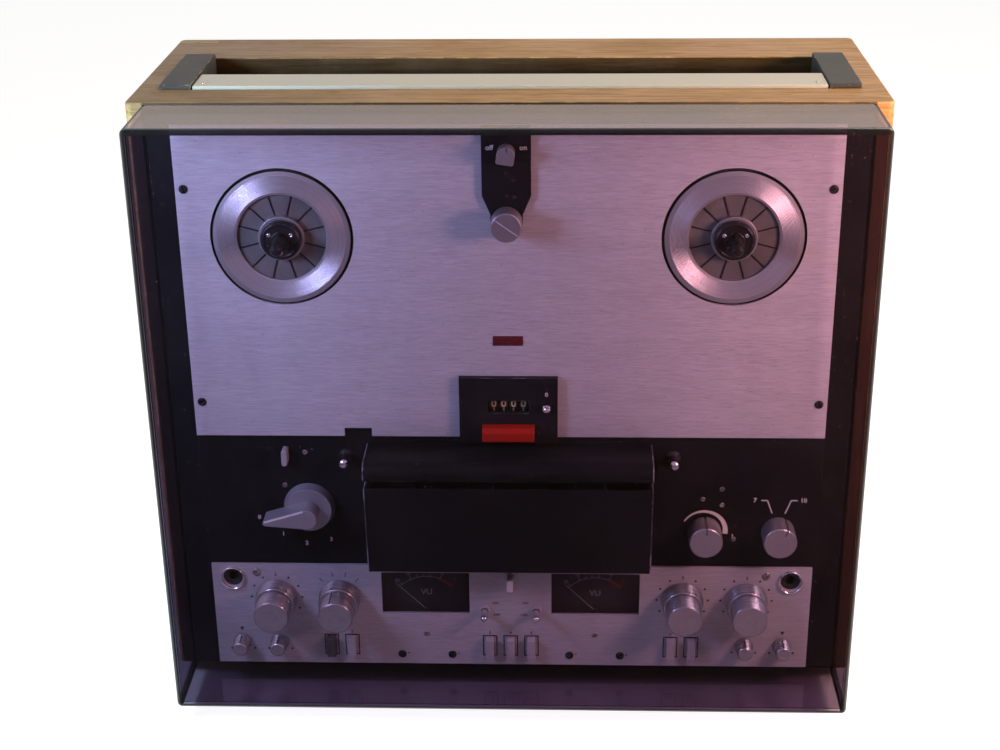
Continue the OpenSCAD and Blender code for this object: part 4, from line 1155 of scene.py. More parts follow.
def cut(piece: Piece, tool: Piece) -> Piece:
    """Cut one mesh out of another.

    Args:
        piece: the mesh that is cut.
        tool: the mesh that is cut out, and then thrown away.

    Returns:
        The piece.
    """
    select(piece)
    knife = piece.modifiers.new("cut", "BOOLEAN")
    knife.operation, knife.object, knife.solver = "DIFFERENCE", tool, "EXACT"
    bpy.ops.object.modifier_apply(modifier=knife.name)
    bpy.data.objects.remove(tool)
    return piece


def letters(text: str, size: float, at: Vector, lift: float = 0.14) -> Piece:
    """Raised figures that face the front.

    Args:
        text: what they say.
        size: their height.
        at: their middle, on the surface.
        lift: how far they stand out.

    Returns:
        The mesh.
    """
    deselect()
    bpy.ops.object.text_add(location=(0, 0, 0))
    text_data = bpy.context.active_object.data
    text_data.body, text_data.size = text, size * MM * 1.35
    text_data.align_x, text_data.align_y = "CENTER", "CENTER"
    text_data.extrude, text_data.resolution_u, text_data.offset = lift * MM / 2, 3, size * MM * 0.03
    bpy.ops.object.convert(target="MESH")
    made = bpy.context.active_object
    made.location, made.rotation_euler = at * MM, (math.pi / 2, 0, 0)
    return settle(made)


def dot(at: Vector, radius: float, lift: float = 0.05) -> Piece:
    """A printed dot with a soft edge."""
    profile = [(0, -lift), (radius, -lift), (radius, lift / 2), (radius * 0.8, lift), (0, lift)]
    return turned("dot", profile, at, steps=14, edge=0.0)


def stroke(a: Sequence[float], b: Sequence[float], width: float, at: Vector, lift: float = 0.05) -> Piece:
    """A printed line.

    Args:
        a: one end, in the plane of the print.
        b: the other end.
        width: the line's width.
        at: the origin of those places.
        lift: how far it stands out.

    Returns:
        The mesh.
    """
    a, b = Vector(a), Vector(b)
    half = Vector((a.y - b.y, b.x - a.x)).normalized() * (width / 2)
    return pressed("stroke", [a + half, a - half, b - half, b + half], at, lift)


def arc(radius: Triple, start: float, stop: float, at: Vector, steps: int = 28) -> Piece:
    """A printed part of a ring.

    Args:
        radius: the outer radius, and the inner one at the start and at the stop.
        start: first angle from upright, anticlockwise, in degrees.
        stop: last angle.
        at: the ring's centre.
        steps: edges along it.

    Returns:
        The mesh.
    """
    outer, first, last = radius
    parts = [i / steps for i in range(steps + 1)]
    rim = [clock(-start - (stop - start) * p, outer).xz for p in parts]
    hollow = [clock(-start - (stop - start) * p, first + (last - first) * p).xz for p in parts]
    return pressed("arc", rim + hollow[::-1], at, 0.05)


def screw_heads(name: str, places: Sequence[Vector], radius: float, height: float, way: Way = Way.FRONT) -> Piece:
    """Slotted screw heads, modelled once and copied, each slot at its own angle.

    Args:
        name: the object's name.
        places: the middle of each head's underside.
        radius: the head's radius.
        height: the head's height.
        way: the way the heads face.

    Returns:
        All heads as one mesh.
    """
    zero = Vector((0, 0, 0))
    profile = [(0, -0.2), (radius, -0.2), (radius, height * 0.5), (radius * 0.72, height * 0.92), (0, height)]
    head = turned("head", profile, zero, way, radius * 0.16, 28)
    deep, slot = way.axis * height * 1.45, Vector((radius * 1.2, height, radius * 0.13))
    smooth(cut(head, block("slot", deep - slot, deep + slot)), 28.0)
    heads = turned_copies(head, [37.0 + 71.0 * i for i in range(len(places))], zero)
    return joined(name, [moved(made, place) for made, place in zip(heads, places)])


# The frame's own places

PLATE = Extent.of("trim_plate").low.y
DECK = Extent.of("trim_plate").high.y
FLOOR_GAP = Extent.of("feet").high.z
AXES = {j["child"]: Vector(j["pos_m"]) / MM for j in frame["joints"] if "pos_m" in j}
SIDES = {-1: "left", 1: "right"}
PUSH_BUTTONS = [f"push_button_{i}" for i in range(1, 8)]
TONE_KNOBS = ("bass_knob_left", "treble_knob_left", "treble_knob_right", "bass_knob_right")


def spot(x: float, h: float, out: float = 0.0) -> Vector:
    """A place on the front: across, up from the cabinet's underside, and out of the bright plates."""
    return Vector((x, PLATE - out, FLOOR_GAP + h))


def axis_at(body: str, y: float = PLATE) -> Vector:
    """Where a body's axis meets an upright plane, such as that of the bright plates."""
    return Vector((AXES[body].x, y, AXES[body].z))


@dataclass(frozen=True)
class Shaft:
    """A front control's axis at the bright plates, its radius, and how far out its root and tip lie."""

    at: Vector
    radius: float
    root: float
    tip: float

    @classmethod
    def of(cls, body: str) -> "Shaft":
        """The shaft of a body, from its CAD node of the same name."""
        box = Extent.of(body)
        return cls(axis_at(body), box.size.x / 2, PLATE - box.high.y, PLATE - box.low.y)


class Assembly:
    """What every sub-assembly shares."""

    @staticmethod
    def seat(piece: Piece, slot: str, *finishes: Finish, body: str = "recorder", nodes: Sequence[str] = ()) -> None:
        """Dress a piece and seat it on its body.

        Args:
            piece: the finished mesh.
            slot: the record's material slot; not used.
            finishes: one finish for each of its slots; the last one also serves any further slots.
            body: the body it rides on.
            nodes: the CAD nodes it stands for.
        """
        deselect()
        mesh = piece.data
        kept = [min(face.material_index, len(finishes) - 1) for face in mesh.polygons]
        mesh.materials.clear()
        for finish in finishes:
            mesh.materials.append(finish.material())
        for face, index in zip(mesh.polygons, kept):
            face.material_index = index
        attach(piece, body)
        if nodes:
            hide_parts(*nodes)
        log.info("%s on %s: %d faces", piece.name, body, len(mesh.polygons))

    @classmethod
    def dress(cls, node: str, name: str, edge: float, slot: str, *finishes: Finish, body: str = "recorder",
              segments: int = 2) -> None:
        """Seat a softened copy of a CAD node in place of the node.

        Args:
            node: the CAD node.
            name: the copy's name.
            edge: the width of its bevelled edges.
            slot: the record's material slot.
            finishes: the finish of its faces, and that of its edges if it differs.
            body: the body it rides on.
            segments: the bevels' steps.
        """
        cls.seat(refined(node, name, edge, segments), slot, *finishes, body=body, nodes=[node])


# Sub-assemblies


@dataclass
class Cabinet(Assembly):
    """Four veneered boards, the rear panel and the rubber feet."""

    corner: float = 4.5
    edge: float = 1.1
    slot_edge: float = 0.7
    foot_recess: float = 5.0
    foot_bore: float = 4.2
    foot_screw: Point = (3.2, 1.6)

    def build(self) -> None:
        """Make the boards, the rear panel and the feet."""
        self.boards()
        self.dress("rear_panel", "rear_panel_crackle", 0.3, "rear_black", REAR_BLACK)
        self.feet()

    @staticmethod
    def opening() -> Extent:
        """Find the handle slot.

        Returns:
            Its box, from the corners that the top board has inside its outline.
        """
        box = Extent.of("cabinet_boards")
        points = [v.co / MM for v in frame["nodes"]["cabinet_boards"].data.vertices]
        return Extent.holding([p for p in points if p.z > box.mid.z and abs(p.x) < box.high.x - 20.0])

    def boards(self) -> None:
        """Shape each board: rounded corners, eased edges and, in the top, the handle slot."""
        box, slot = Extent.of("cabinet_boards"), self.opening()

        def corner(a: Vector, b: Vector) -> bool:
            """True for the cabinet's upright corners."""
            return (abs(a.z - b.z) > 1 and abs(abs(a.x) - box.high.x) < NEAR
                    and min(abs(a.y - box.low.y), abs(a.y - box.high.y)) < NEAR)

        def inner(a: Vector, b: Vector) -> bool:
            """True for a side board's front edge towards the deck."""
            return (abs(a.z - b.z) > 1 and max(abs(a.y - box.low.y), abs(b.y - box.low.y)) < NEAR
                    and abs(a.x) < box.high.x - self.corner - 1)

        def in_slot(p: Vector) -> bool:
            """True on the slot's walls."""
            return all(slot.low[i] - 0.1 < p[i] < slot.high[i] + 0.1 for i in (0, 1))

        for own in solid_boxes("cabinet_boards"):
            upright, top = own.size.z > own.size.x, own.mid.z > box.mid.z + 1
            side = "side_left" if own.mid.x < 0 else "side_right"
            board = block(f"cabinet_{side if upright else 'top' if top else 'base'}", own.low, own.high)
            level = own.high.z if top else own.low.z

            def outer(a: Vector, b: Vector) -> bool:
                """True for the edges round the face that shows."""
                return max(abs(a.z - level), abs(b.z - level)) < NEAR

            rounded(board, self.corner, 5, corner)
            if upright:
                rounded(board, self.slot_edge, 2, inner)
            else:
                rounded(board, self.edge, 3, outer)
            if top:
                reach = Vector((0, 0, 1))
                cut(board, block("tool", slot.low - reach, slot.high + reach))
                rounded(board, self.slot_edge, 2, lambda a, b: outer(a, b) and in_slot(a) and in_slot(b))
                # The slot's walls take the third finish, a dark veneer that is painted shade.
                repaint(board, 2, lambda mid, normal: abs(normal.z) < 0.1 and in_slot(mid))
            smooth(board)
            first = WOOD_SIDE if upright else WOOD_TOP if top else WOOD_LONG
            self.seat(board, "wood", first, WOOD_SIDE_RUBBED if upright else WOOD_RUBBED, WOOD_SLOT_SHADE,
                      nodes=["cabinet_boards"])

    def feet(self) -> None:
        """Turn one ribbed rubber foot for each CAD foot, with the screw that holds it."""
        places = solid_boxes("feet")
        radius, height, bore = places[0].size.x / 2, places[0].size.z, self.foot_bore
        head = height - self.foot_recess
        profile = [(0, 0), (radius, 0), (radius, 2.0), (radius - 0.5, 2.4), (radius - 0.5, 3.2), (radius, 3.6),
                   (radius - 0.8, height - 1.0), (radius - 2.0, height), (bore, height), (bore, head), (0, head)]
        tops = [Vector((box.mid.x, box.mid.y, box.high.z)) for box in places]
        feet = [turned("foot", profile, top, Way.DOWN, 0.5, 40) for top in tops]
        self.seat(joined("rubber_feet", feet), "foot_rubber", RUBBER, nodes=["feet"])
        sunk = [top - Vector((0, 0, head)) for top in tops]
        self.seat(screw_heads("foot_screws", sunk, *self.foot_screw, Way.DOWN), "screw_steel", SCREW_STEEL)


@dataclass
class Handle(Assembly):
    """Pull-up bar with its rivets, and the two black brackets."""

    rivet_at: Point = (201.4, -18.3)
    rivet: Point = (1.6, 0.5)

    def build(self) -> None:
        """Make the bar, the rivets and the brackets."""
        self.dress("handle_bar", "handle_bar_satin", 0.7, "handle_aluminium", BAR_METAL, body="handle_bar", segments=3)
        (x, y), top = self.rivet_at, Extent.of("handle_bar").high.z
        rivets = screw_heads("handle_rivets", [Vector((s * x, y, top)) for s in SIDES], *self.rivet, Way.UP)
        self.seat(rivets, "screw_steel", SCREW_STEEL, body="handle_bar")
        for piece, side in zip(loose("handle_brackets", 0.6, 3), SIDES.values()):
            piece.name = f"handle_bracket_{side}"
            self.seat(piece, "bracket_black", BRACKET_BLACK, BRACKET_RUBBED, nodes=["handle_brackets"])


@dataclass
class DustCover(Assembly):
    """Smoked acrylic moulding, open to the back."""

    wall: float = 3.0
    corner: float = 3.6
    rim: float = 0.5

    def build(self) -> None:
        """Open a box at its back, round its corners and give it its wall."""
        box = Extent.of("dust_cover")
        cover = block("dust_cover_shell", box.low, box.high)
        pick(cover, Pick.FACES, lambda mid, normal: normal.y > 0.9)
        bpy.ops.mesh.delete(type="FACE")
        rounded(cover, self.corner, 5, lambda a, b: min(a.y, b.y) < box.high.y - 1)
        select(cover)
        shell = cover.modifiers.new("wall", "SOLIDIFY")
        shell.thickness, shell.offset, shell.use_even_offset = self.wall * MM, -1.0, True
        shell.material_offset_rim = 1
        bpy.ops.object.modifier_apply(modifier=shell.name)
        softened(cover, self.rim, 2, 60.0)
        self.seat(cover, "cover_smoke", SMOKE, SMOKE_EDGE, body="dust_cover", nodes=["dust_cover"])


@dataclass
class Deck(Assembly):
    """Black deck pressing, upper bright plate, its screws and small deck screws."""

    bright_x: float = 150.0
    plate_screw: Point = (3.0, 1.0)
    small_screw: Point = (1.9, 0.9)
    small_at: tuple[Point, ...] = (
        (-139.6, 180.1), (-154.9, 154.7), (132.8, 145.9), (145.5, 153.7), (146.0, 141.4), (154.7, 114.8))

    def build(self) -> None:
        """Make the plates and the screws."""
        self.dress("deck_plate", "deck_pressing", 0.8, "deck_black", DECK_BLACK, DECK_RUBBED, segments=3)
        self.dress("trim_plate", "upper_plate", 0.3, "trim_metal", TRIM_METAL, PLATE_EDGE)
        places = [Vector((x, DECK, FLOOR_GAP + h)) for x, h in self.small_at]
        self.seat(screw_heads("deck_small_screws", places, *self.small_screw), "screw_steel", SCREW_STEEL)
        self.screws()

    def screws(self) -> None:
        """Put a slotted head at each CAD screw, front and rear."""
        middles, rear_y = [box.mid for box in solid_boxes("screws")], Extent.of("rear_panel").high.y
        front = [Vector((p.x, PLATE, p.z)) for p in middles if p.y < 0]
        rear = [Vector((p.x, rear_y, p.z)) for p in middles if p.y >= 0]
        low = Extent.of("control_panel").high.z
        bright = [p for p in front if abs(p.x) > self.bright_x and p.z < low]
        black = [p for p in front if p not in bright]
        for name, places, finish, way in (("plate_screws", black, SCREW_BLACK, Way.FRONT),
                                          ("panel_screws", bright, SCREW_STEEL, Way.FRONT),
                                          ("rear_screws", rear, SCREW_STEEL, Way.BACK)):
            heads = screw_heads(name, places, *self.plate_screw, way)
            self.seat(heads, "screw_steel", finish, nodes=["screws"])


@dataclass
class Turntable(Assembly):
    """Platter with its sunk ring, black bars and a black side wall painted as shade, the black cap and the keyed
    spindle.
    """

    body: str
    faces: Point = (1.2, -6.8)
    shaft: float = 5.0
    rim: float = 42.2
    ribs: int = 12
    rib_w: float = 0.85
    ring: Point = (15.0, 29.0)
    groove: Point = (0.75, 0.20)
    sink: float = 2.5
    cap: Point = (13.0, 5.0)
    cap_screw: Triple = (8.2, 1.5, 0.9)
    spindle: Point = (3.9, 4.5)
    key: Triple = (2.4, 1.8, 6.0)

    def build(self) -> None:
        """Turn the platter, set black bars in its sunk ring and paint its side wall black, both as painted shade, and
        put the cap, its screws and the spindle on.
        """
        axle, (front, back), (inner, outer), rim = Shaft.of(self.body), self.faces, self.ring, self.rim
        centre, radius = axle.at, axle.radius
        collar, floor = front + 1.5, front - self.sink
        cap_edge = self.cap[0] + 0.6
        profile = [(0, axle.root), (self.shaft, axle.root), (self.shaft, back), (radius - 2, back),
                   (radius, back + 1.2), (radius, front - 0.8), (radius - 0.3, front - 0.5),
                   (rim, front - 0.35), (rim - 0.3, front - 0.1),
                   *grooved((rim - 0.6, front), (outer + 1.8, front), *self.groove),
                   (outer + 1.5, front - 0.3), (outer + 0.2, front - 0.4), (outer, front - 0.6),
                   (outer, floor), (inner, floor), (inner, collar - 0.3), (inner - 0.3, collar),
                   (cap_edge, collar), (cap_edge - 0.4, collar - 0.3), (0, collar - 0.3)]
        platter = turned("platter", profile, centre, edge=0.0, steps=96, angle=50.0)
        # Painted shade: thin black bars stand in the sunk ring for the shaded gaps between its pads.
        rib = soft_bar("rib", centre, (inner - 0.2, -floor - 0.7, -self.rib_w / 2),
                       (outer + 0.2, -floor + 0.1, self.rib_w / 2), 0.25)
        repaint(rib, 2, lambda mid, normal: True)
        repaint(platter, 1, lambda mid, normal: abs(mid.y - PLATE + floor) < NEAR and normal.y < -0.9)
        # Painted shade: the platter's side wall is painted black, as the shade in the gap round it.
        repaint(platter, 2, lambda mid, normal: abs(normal.y) < 0.8
                and math.hypot(mid.x - centre.x, mid.z - centre.z) > radius - 1.5)
        ribs = turned_copies(rib, [360.0 / self.ribs * (i + 0.5) for i in range(self.ribs)], centre)
        whole = joined(f"{self.body}_platter", [platter, *ribs])
        self.seat(whole, "platter_aluminium", PLATTER, FELT, CAP_BLACK, body=self.body, nodes=[self.body])
        self.hub(centre, collar + 0.1, axle.tip)

    def hub(self, centre: Vector, start: float, tip: float) -> None:
        """Make the cap with its three screws, and the spindle with its keys.

        Args:
            centre: the axis at the bright plates.
            start: how far out of those the cap starts.
            tip: how far out the spindle ends.
        """
        (cap_r, cap_l), (pin_r, root_r), (reach, width, length) = self.cap, self.spindle, self.key
        face = start + cap_l
        cap = turned("cap", [(0, start), (cap_r, start), (cap_r, face - 1.2), (cap_r - 1.4, face),
                             (cap_r - 2.4, face), (cap_r - 2.8, face - 0.4), (root_r + 1.6, face - 0.4),
                             (root_r + 1.2, face), (0, face)], centre)
        spindle = turned("pin", [(0, face - 1), (root_r, face - 1), (root_r, face + length),
                                 (pin_r, face + length), (pin_r, tip - 2.2), (pin_r - 1.6, tip - 0.2),
                                 (0, tip)], centre, edge=0.35, steps=40)
        key = soft_bar("key", centre, (-width / 2, -face - length, 0.5), (width / 2, 0.5 - face, pin_r + reach), 0.4)
        keys = turned_copies(key, (0.0, 120.0, 240.0), centre)
        whole = joined(f"{self.body}_hub", [cap, spindle, *keys])
        self.seat(whole, "platter_aluminium", CAP_BLACK, body=self.body)
        ring, *head = self.cap_screw
        places = [centre + clock(turn, ring) + Vector((0, 0.4 - face, 0)) for turn in (60, 180, 300)]
        self.seat(screw_heads(f"{self.body}_cap_screws", places, *head), "screw_steel", CHROME, body=self.body)


@dataclass
class SwitchPlate(Assembly):
    """Black plate at the top with the power and spooling knobs, and the counter housing below."""

    power_half: float = 5.7
    power_turn: float = -9.0
    hairline: float = -36.0
    screw: Point = (1.5, 0.7)
    screws_at: tuple[Point, ...] = ((-0.1, 379.7), (4.6, 374.6), (0.4, 364.5), (4.6, 363.9))
    words: tuple[tuple[str, float], ...] = (("off", -10.6), ("on", 10.9))
    word_size: float = 3.4

    def build(self) -> None:
        """Make the two black plates, the knobs, the screws and the words."""
        plates = stacked("centre_escutcheons", 0.45)
        for piece, name in zip(plates, ("counter_housing", "switch_plate")):
            piece.name = name
            self.seat(piece, "escutcheon_black", PLATE_BLACK, PLATE_RUBBED, nodes=["centre_escutcheons"])
        face = PLATE - Extent.around(plates[1]).low.y
        screws = screw_heads("switch_plate_screws", [spot(x, h, face) for x, h in self.screws_at], *self.screw)
        self.seat(screws, "screw_steel", SCREW_BLACK)
        level = AXES["power_knob"].z - FLOOR_GAP + 2.6
        words = [letters(word, self.word_size, spot(x, level, face)) for word, x in self.words]
        self.seat(joined("switch_marks", words), "trim_metal", INK_LIGHT)
        self.power(face)
        self.spool()

    def spool(self) -> None:
        """Turn the spooling knob and lay a hairline across its face."""
        axle, start = Shaft.of("spool_knob"), 4.0
        at, radius, root, tip = axle.at, axle.radius, axle.root, axle.tip
        knob = turned("spool_knob_turned", [
            (0, root), (3.0, root), (3.0, start), (radius - 0.6, start), (radius, start + 0.6),
            *grooved((radius, start + 0.8), (radius - 0.2, tip - 0.9), 0.8, 0.10), (radius - 0.5, tip - 0.2),
            *grooved((radius - 0.9, tip), (0.4, tip), 0.9, 0.05), (0, tip)], at, edge=0.0, steps=64, angle=50.0)
        self.seat(knob, "knob_aluminium", KNOB_DULL, body="spool_knob", nodes=["spool_knob"])
        line = soft_bar("spool_knob_hairline", at, (1.2 - radius, -tip - 0.04, -0.2),
                        (radius - 1.2, -tip + 0.3, 0.2), 0.05, self.hairline)
        self.seat(line, "knob_aluminium", INK_LIGHT, body="spool_knob")

    def power(self, face: float) -> None:
        """Press the power knob's arched face, notch its top and put it on its shaft.

        Args:
            face: how far the switch plate stands out.
        """
        axle, half = Shaft.of("power_knob"), self.power_half
        at, root, tip = axle.at, axle.root, axle.tip
        arch = [(half * math.cos(a), half * math.sin(a)) for a in (math.pi * i / 18 for i in range(19))]
        outline = [*arch, (-half, -half + 1.0), (-half + 1.0, -half), (half - 1.0, -half), (half, -half + 1.0)]
        knob = pressed("knob", outline, at + Vector((0, -face - 1.0, 0)), tip - face - 1.0)
        notch = block("notch", at + Vector((-0.7, -tip - 1, half - 3.0)), at + Vector((0.7, -tip + 1.4, half + 1)))
        spun(softened(cut(knob, notch), 0.45, 3), self.power_turn, at)
        stem = turned("stem", [(0, root), (3.0, root), (3.0, face + 1.5), (0, face + 1.5)], at)
        knob = ringed(joined("power_knob_arched", [knob, stem]), at)
        self.seat(knob, "knob_aluminium", KNOB_DULL, body="power_knob", nodes=["power_knob"])


@dataclass
class Counter(Assembly):
    """Figure wheels, reset and record buttons, and the pilot lamp above them."""

    figure: float = 5.4
    pitch: float = 6.6
    wheels: int = 4
    cross: Point = (2.1, 0.45)
    zero_at: Triple = (25.5, 226.5, 4.0)

    def build(self) -> None:
        """Make the wheels, the buttons and the lamp."""
        self.dress("counter_wheels", "figure_wheels", 0.3, "digit_cream", WHEEL_DARK, body="counter_wheels")
        self.figures()
        reset, box = refined("reset_button", "reset_button_plated", 0.5, 3), Extent.of("reset_button")
        for wide, high in (self.cross, self.cross[::-1]):
            middle = Vector((box.mid.x, box.low.y, box.mid.z))
            cut(reset, block("slot", middle - Vector((wide, 1, high)), middle + Vector((wide, 1, high))))
        self.seat(smooth(reset), "head_metal", CHROME, body="reset_button", nodes=["reset_button"])
        self.dress("record_button", "record_button_red", 0.7, "record_red", RECORD_RED, RECORD_RUBBED,
                   body="record_button", segments=3)
        self.dress("pilot_lamp", "pilot_lens_red", 0.5, "pilot_red", PILOT, segments=3)
        zero = letters("0", 3.0, spot(*self.zero_at))
        self.seat(joined("reset_mark", [zero]), "trim_metal", INK_LIGHT)

    def figures(self) -> None:
        """Set the figures 0 to 9 round each wheel."""
        axle, radius = AXES["counter_wheels"], Extent.of("counter_wheels").size.y / 2
        made = []
        for wheel in range(self.wheels):
            hub = axle + Vector(((wheel - (self.wheels - 1) / 2) * self.pitch, 0, 0))
            for value in range(10):
                mark = letters(str(value), self.figure, hub - Vector((0, radius, 0)), 0.1)
                made.append(spun(mark, 36.0 * value, hub, "X"))
        self.seat(joined("wheel_figures", made), "digit_cream", INK_CREAM, body="counter_wheels")


@dataclass
class HeadGroup(Assembly):
    """Head cover, heads, guides, capstan, pinch arm and roller."""

    cover_edge: float = 0.9
    rubbed_x: float = 95.0
    guide_x: float = 100.0

    def build(self) -> None:
        """Make the cover's two halves and what is behind them."""
        for piece, name in zip(stacked("head_cover", self.cover_edge), ("lower", "upper")):
            piece.name = f"head_cover_{name}"
            repaint(piece, 0, lambda mid, normal: abs(mid.x) < self.rubbed_x)
            self.seat(piece, "head_cover_black", HEAD_BLACK, HEAD_RUBBED, nodes=["head_cover"])
        heads, guides = [], []
        for part in loose("heads_and_guides"):
            if abs(Extent.around(part).mid.x) > self.guide_x:
                guides.append(self.guide(part))
            else:
                heads.append(softened(part, 0.8, 3))
        self.seat(joined("tape_heads", heads), "head_metal", CHROME, nodes=["heads_and_guides"])
        self.seat(joined("tape_guides", guides), "head_metal", CHROME, SCREW_BLACK, nodes=["heads_and_guides"])
        self.dress("capstan", "capstan_shaft", 0.4, "capstan_steel", CAPSTAN_STEEL, body="capstan")
        self.dress("pinch_arm", "pinch_arm_plate", 0.4, "chassis_steel", STEEL, body="pinch_arm")
        self.dress("pinch_roller", "pinch_roller_rubber", 0.5, "roller_rubber", RUBBER, body="pinch_roller")

    @staticmethod
    def guide(part: Piece) -> Piece:
        """Turn a waisted guide post with a domed end in place of its plain solid.

        Args:
            part: the plain solid, which is thrown away.

        Returns:
            The post.
        """
        box = measured(part)
        foot, length = box.size.x / 2, box.size.y
        at, post = Vector((box.mid.x, box.high.y, box.mid.z)), foot - 1.6
        profile = [(0, 0), (foot, 0), (foot, 1.2), (post, 2.0), (post - 0.9, 3.0), (post - 0.9, length - 6.0),
                   (post, length - 5.4), (post, length - 2.4), (post * 0.86, length - 1.1),
                   (post * 0.5, length - 0.25), (0, length)]
        guide = turned("guide", profile, at, edge=0.25, steps=40)
        return repaint(guide, 1, lambda mid, normal: mid.y > at.y - length + 5.2)


@dataclass
class Selectors(Assembly):
    """Function, speed and reel-size knobs, the lock release, and their marks on the deck."""

    ring: Triple = (16.2, 15.4, 12.6)
    skirt: Point = (18.0, 7.0)
    blade: Triple = (7.4, 2.0, 30.0)
    pointer_turn: float = 186.0
    stops: tuple[Point, ...] = ((105.0, 37.0), (139.0, 30.0), (173.0, 30.0), (207.0, 30.0))

    def build(self) -> None:
        """Make the knobs, the button and the marks."""
        self.pointer()
        for body in ("speed_knob", "reel_size_knob"):
            knob = ringed(refined(body, f"{body}_turned", 0.4, 3), axis_at(body))
            self.seat(knob, "knob_aluminium", KNOB_DULL, KNOB, body=body, nodes=[body])
        self.dress("lock_release_button", "lock_release_bar", 0.8, "button_grey", BUTTON_GREY,
                   body="lock_release_button", segments=3)
        self.marks()

    def pointer(self) -> None:
        """Turn the function knob's skirt, press its pointer and lay a white line along its upper edge as a painted
        highlight.
        """
        body = "function_knob"
        axle, foot, wide, (heel, nose, arm) = Shaft.of(body), PLATE - DECK + 0.8, self.skirt[0], self.blade
        at, root, tip, top = axle.at, axle.root, axle.tip, foot + self.skirt[1]
        skirt = turned("skirt", [(0, root), (3.0, root), (3.0, foot), (wide, foot), (wide - 2.0, top), (0, top)],
                       at, edge=0.6, steps=72)
        turns = [math.radians(85 + 10 * i) for i in range(20)]
        outline = [(heel * math.cos(a), heel * math.sin(a)) for a in turns]
        turns = [math.radians(-85 + 17 * i) for i in range(11)]
        outline += [(arm - nose + nose * math.cos(a), nose * math.sin(a)) for a in turns]
        blade = pressed("blade", outline, at + Vector((0, 0.5 - top, 0)), tip - top + 0.5)
        ringed(spun(softened(blade, 0.5, 3), self.pointer_turn, at), at)
        whole = joined("function_pointer", [skirt, blade])
        self.seat(whole, "knob_aluminium", POINTER, body=body, nodes=[body])
        # Painted highlight: a white line along the pointer's upper edge.
        line = stroke((1.0, 0.8 - heel), (arm - nose + 0.6, 0.8 - nose), 1.4, at + Vector((0, -tip, 0)), 0.25)
        line.name = "function_pointer_line"
        self.seat(spun(line, self.pointer_turn, at), "knob_aluminium", INK_LIGHT, body=body)

    def marks(self) -> None:
        """Print the speed arc, the leader lines and the plain figures."""
        speed, size, function = (axis_at(f"{name}_knob", DECK) for name in ("speed", "reel_size", "function"))
        made = [arc(self.ring, 62.0, -98.0, speed), letters("1", 3.2, speed + Vector((19.5, 0, -4.0)))]
        for side, figure in zip(SIDES, ("7", "10")):
            made.append(stroke((side * 4.4, 14.0), (side * 8.2, 24.4), 0.8, size))
            made.append(stroke((side * 8.0, 24.1), (side * 12.4, 24.1), 0.8, size))
            made.append(letters(figure, 3.4, size + Vector((side * 16.6, 0, 24.1))))
        for i, (turn, reach) in enumerate(self.stops):
            made.append(letters(str(i), 3.2, function + clock(-turn, reach)))
        self.seat(joined("deck_marks", made), "trim_metal", INK_LIGHT)


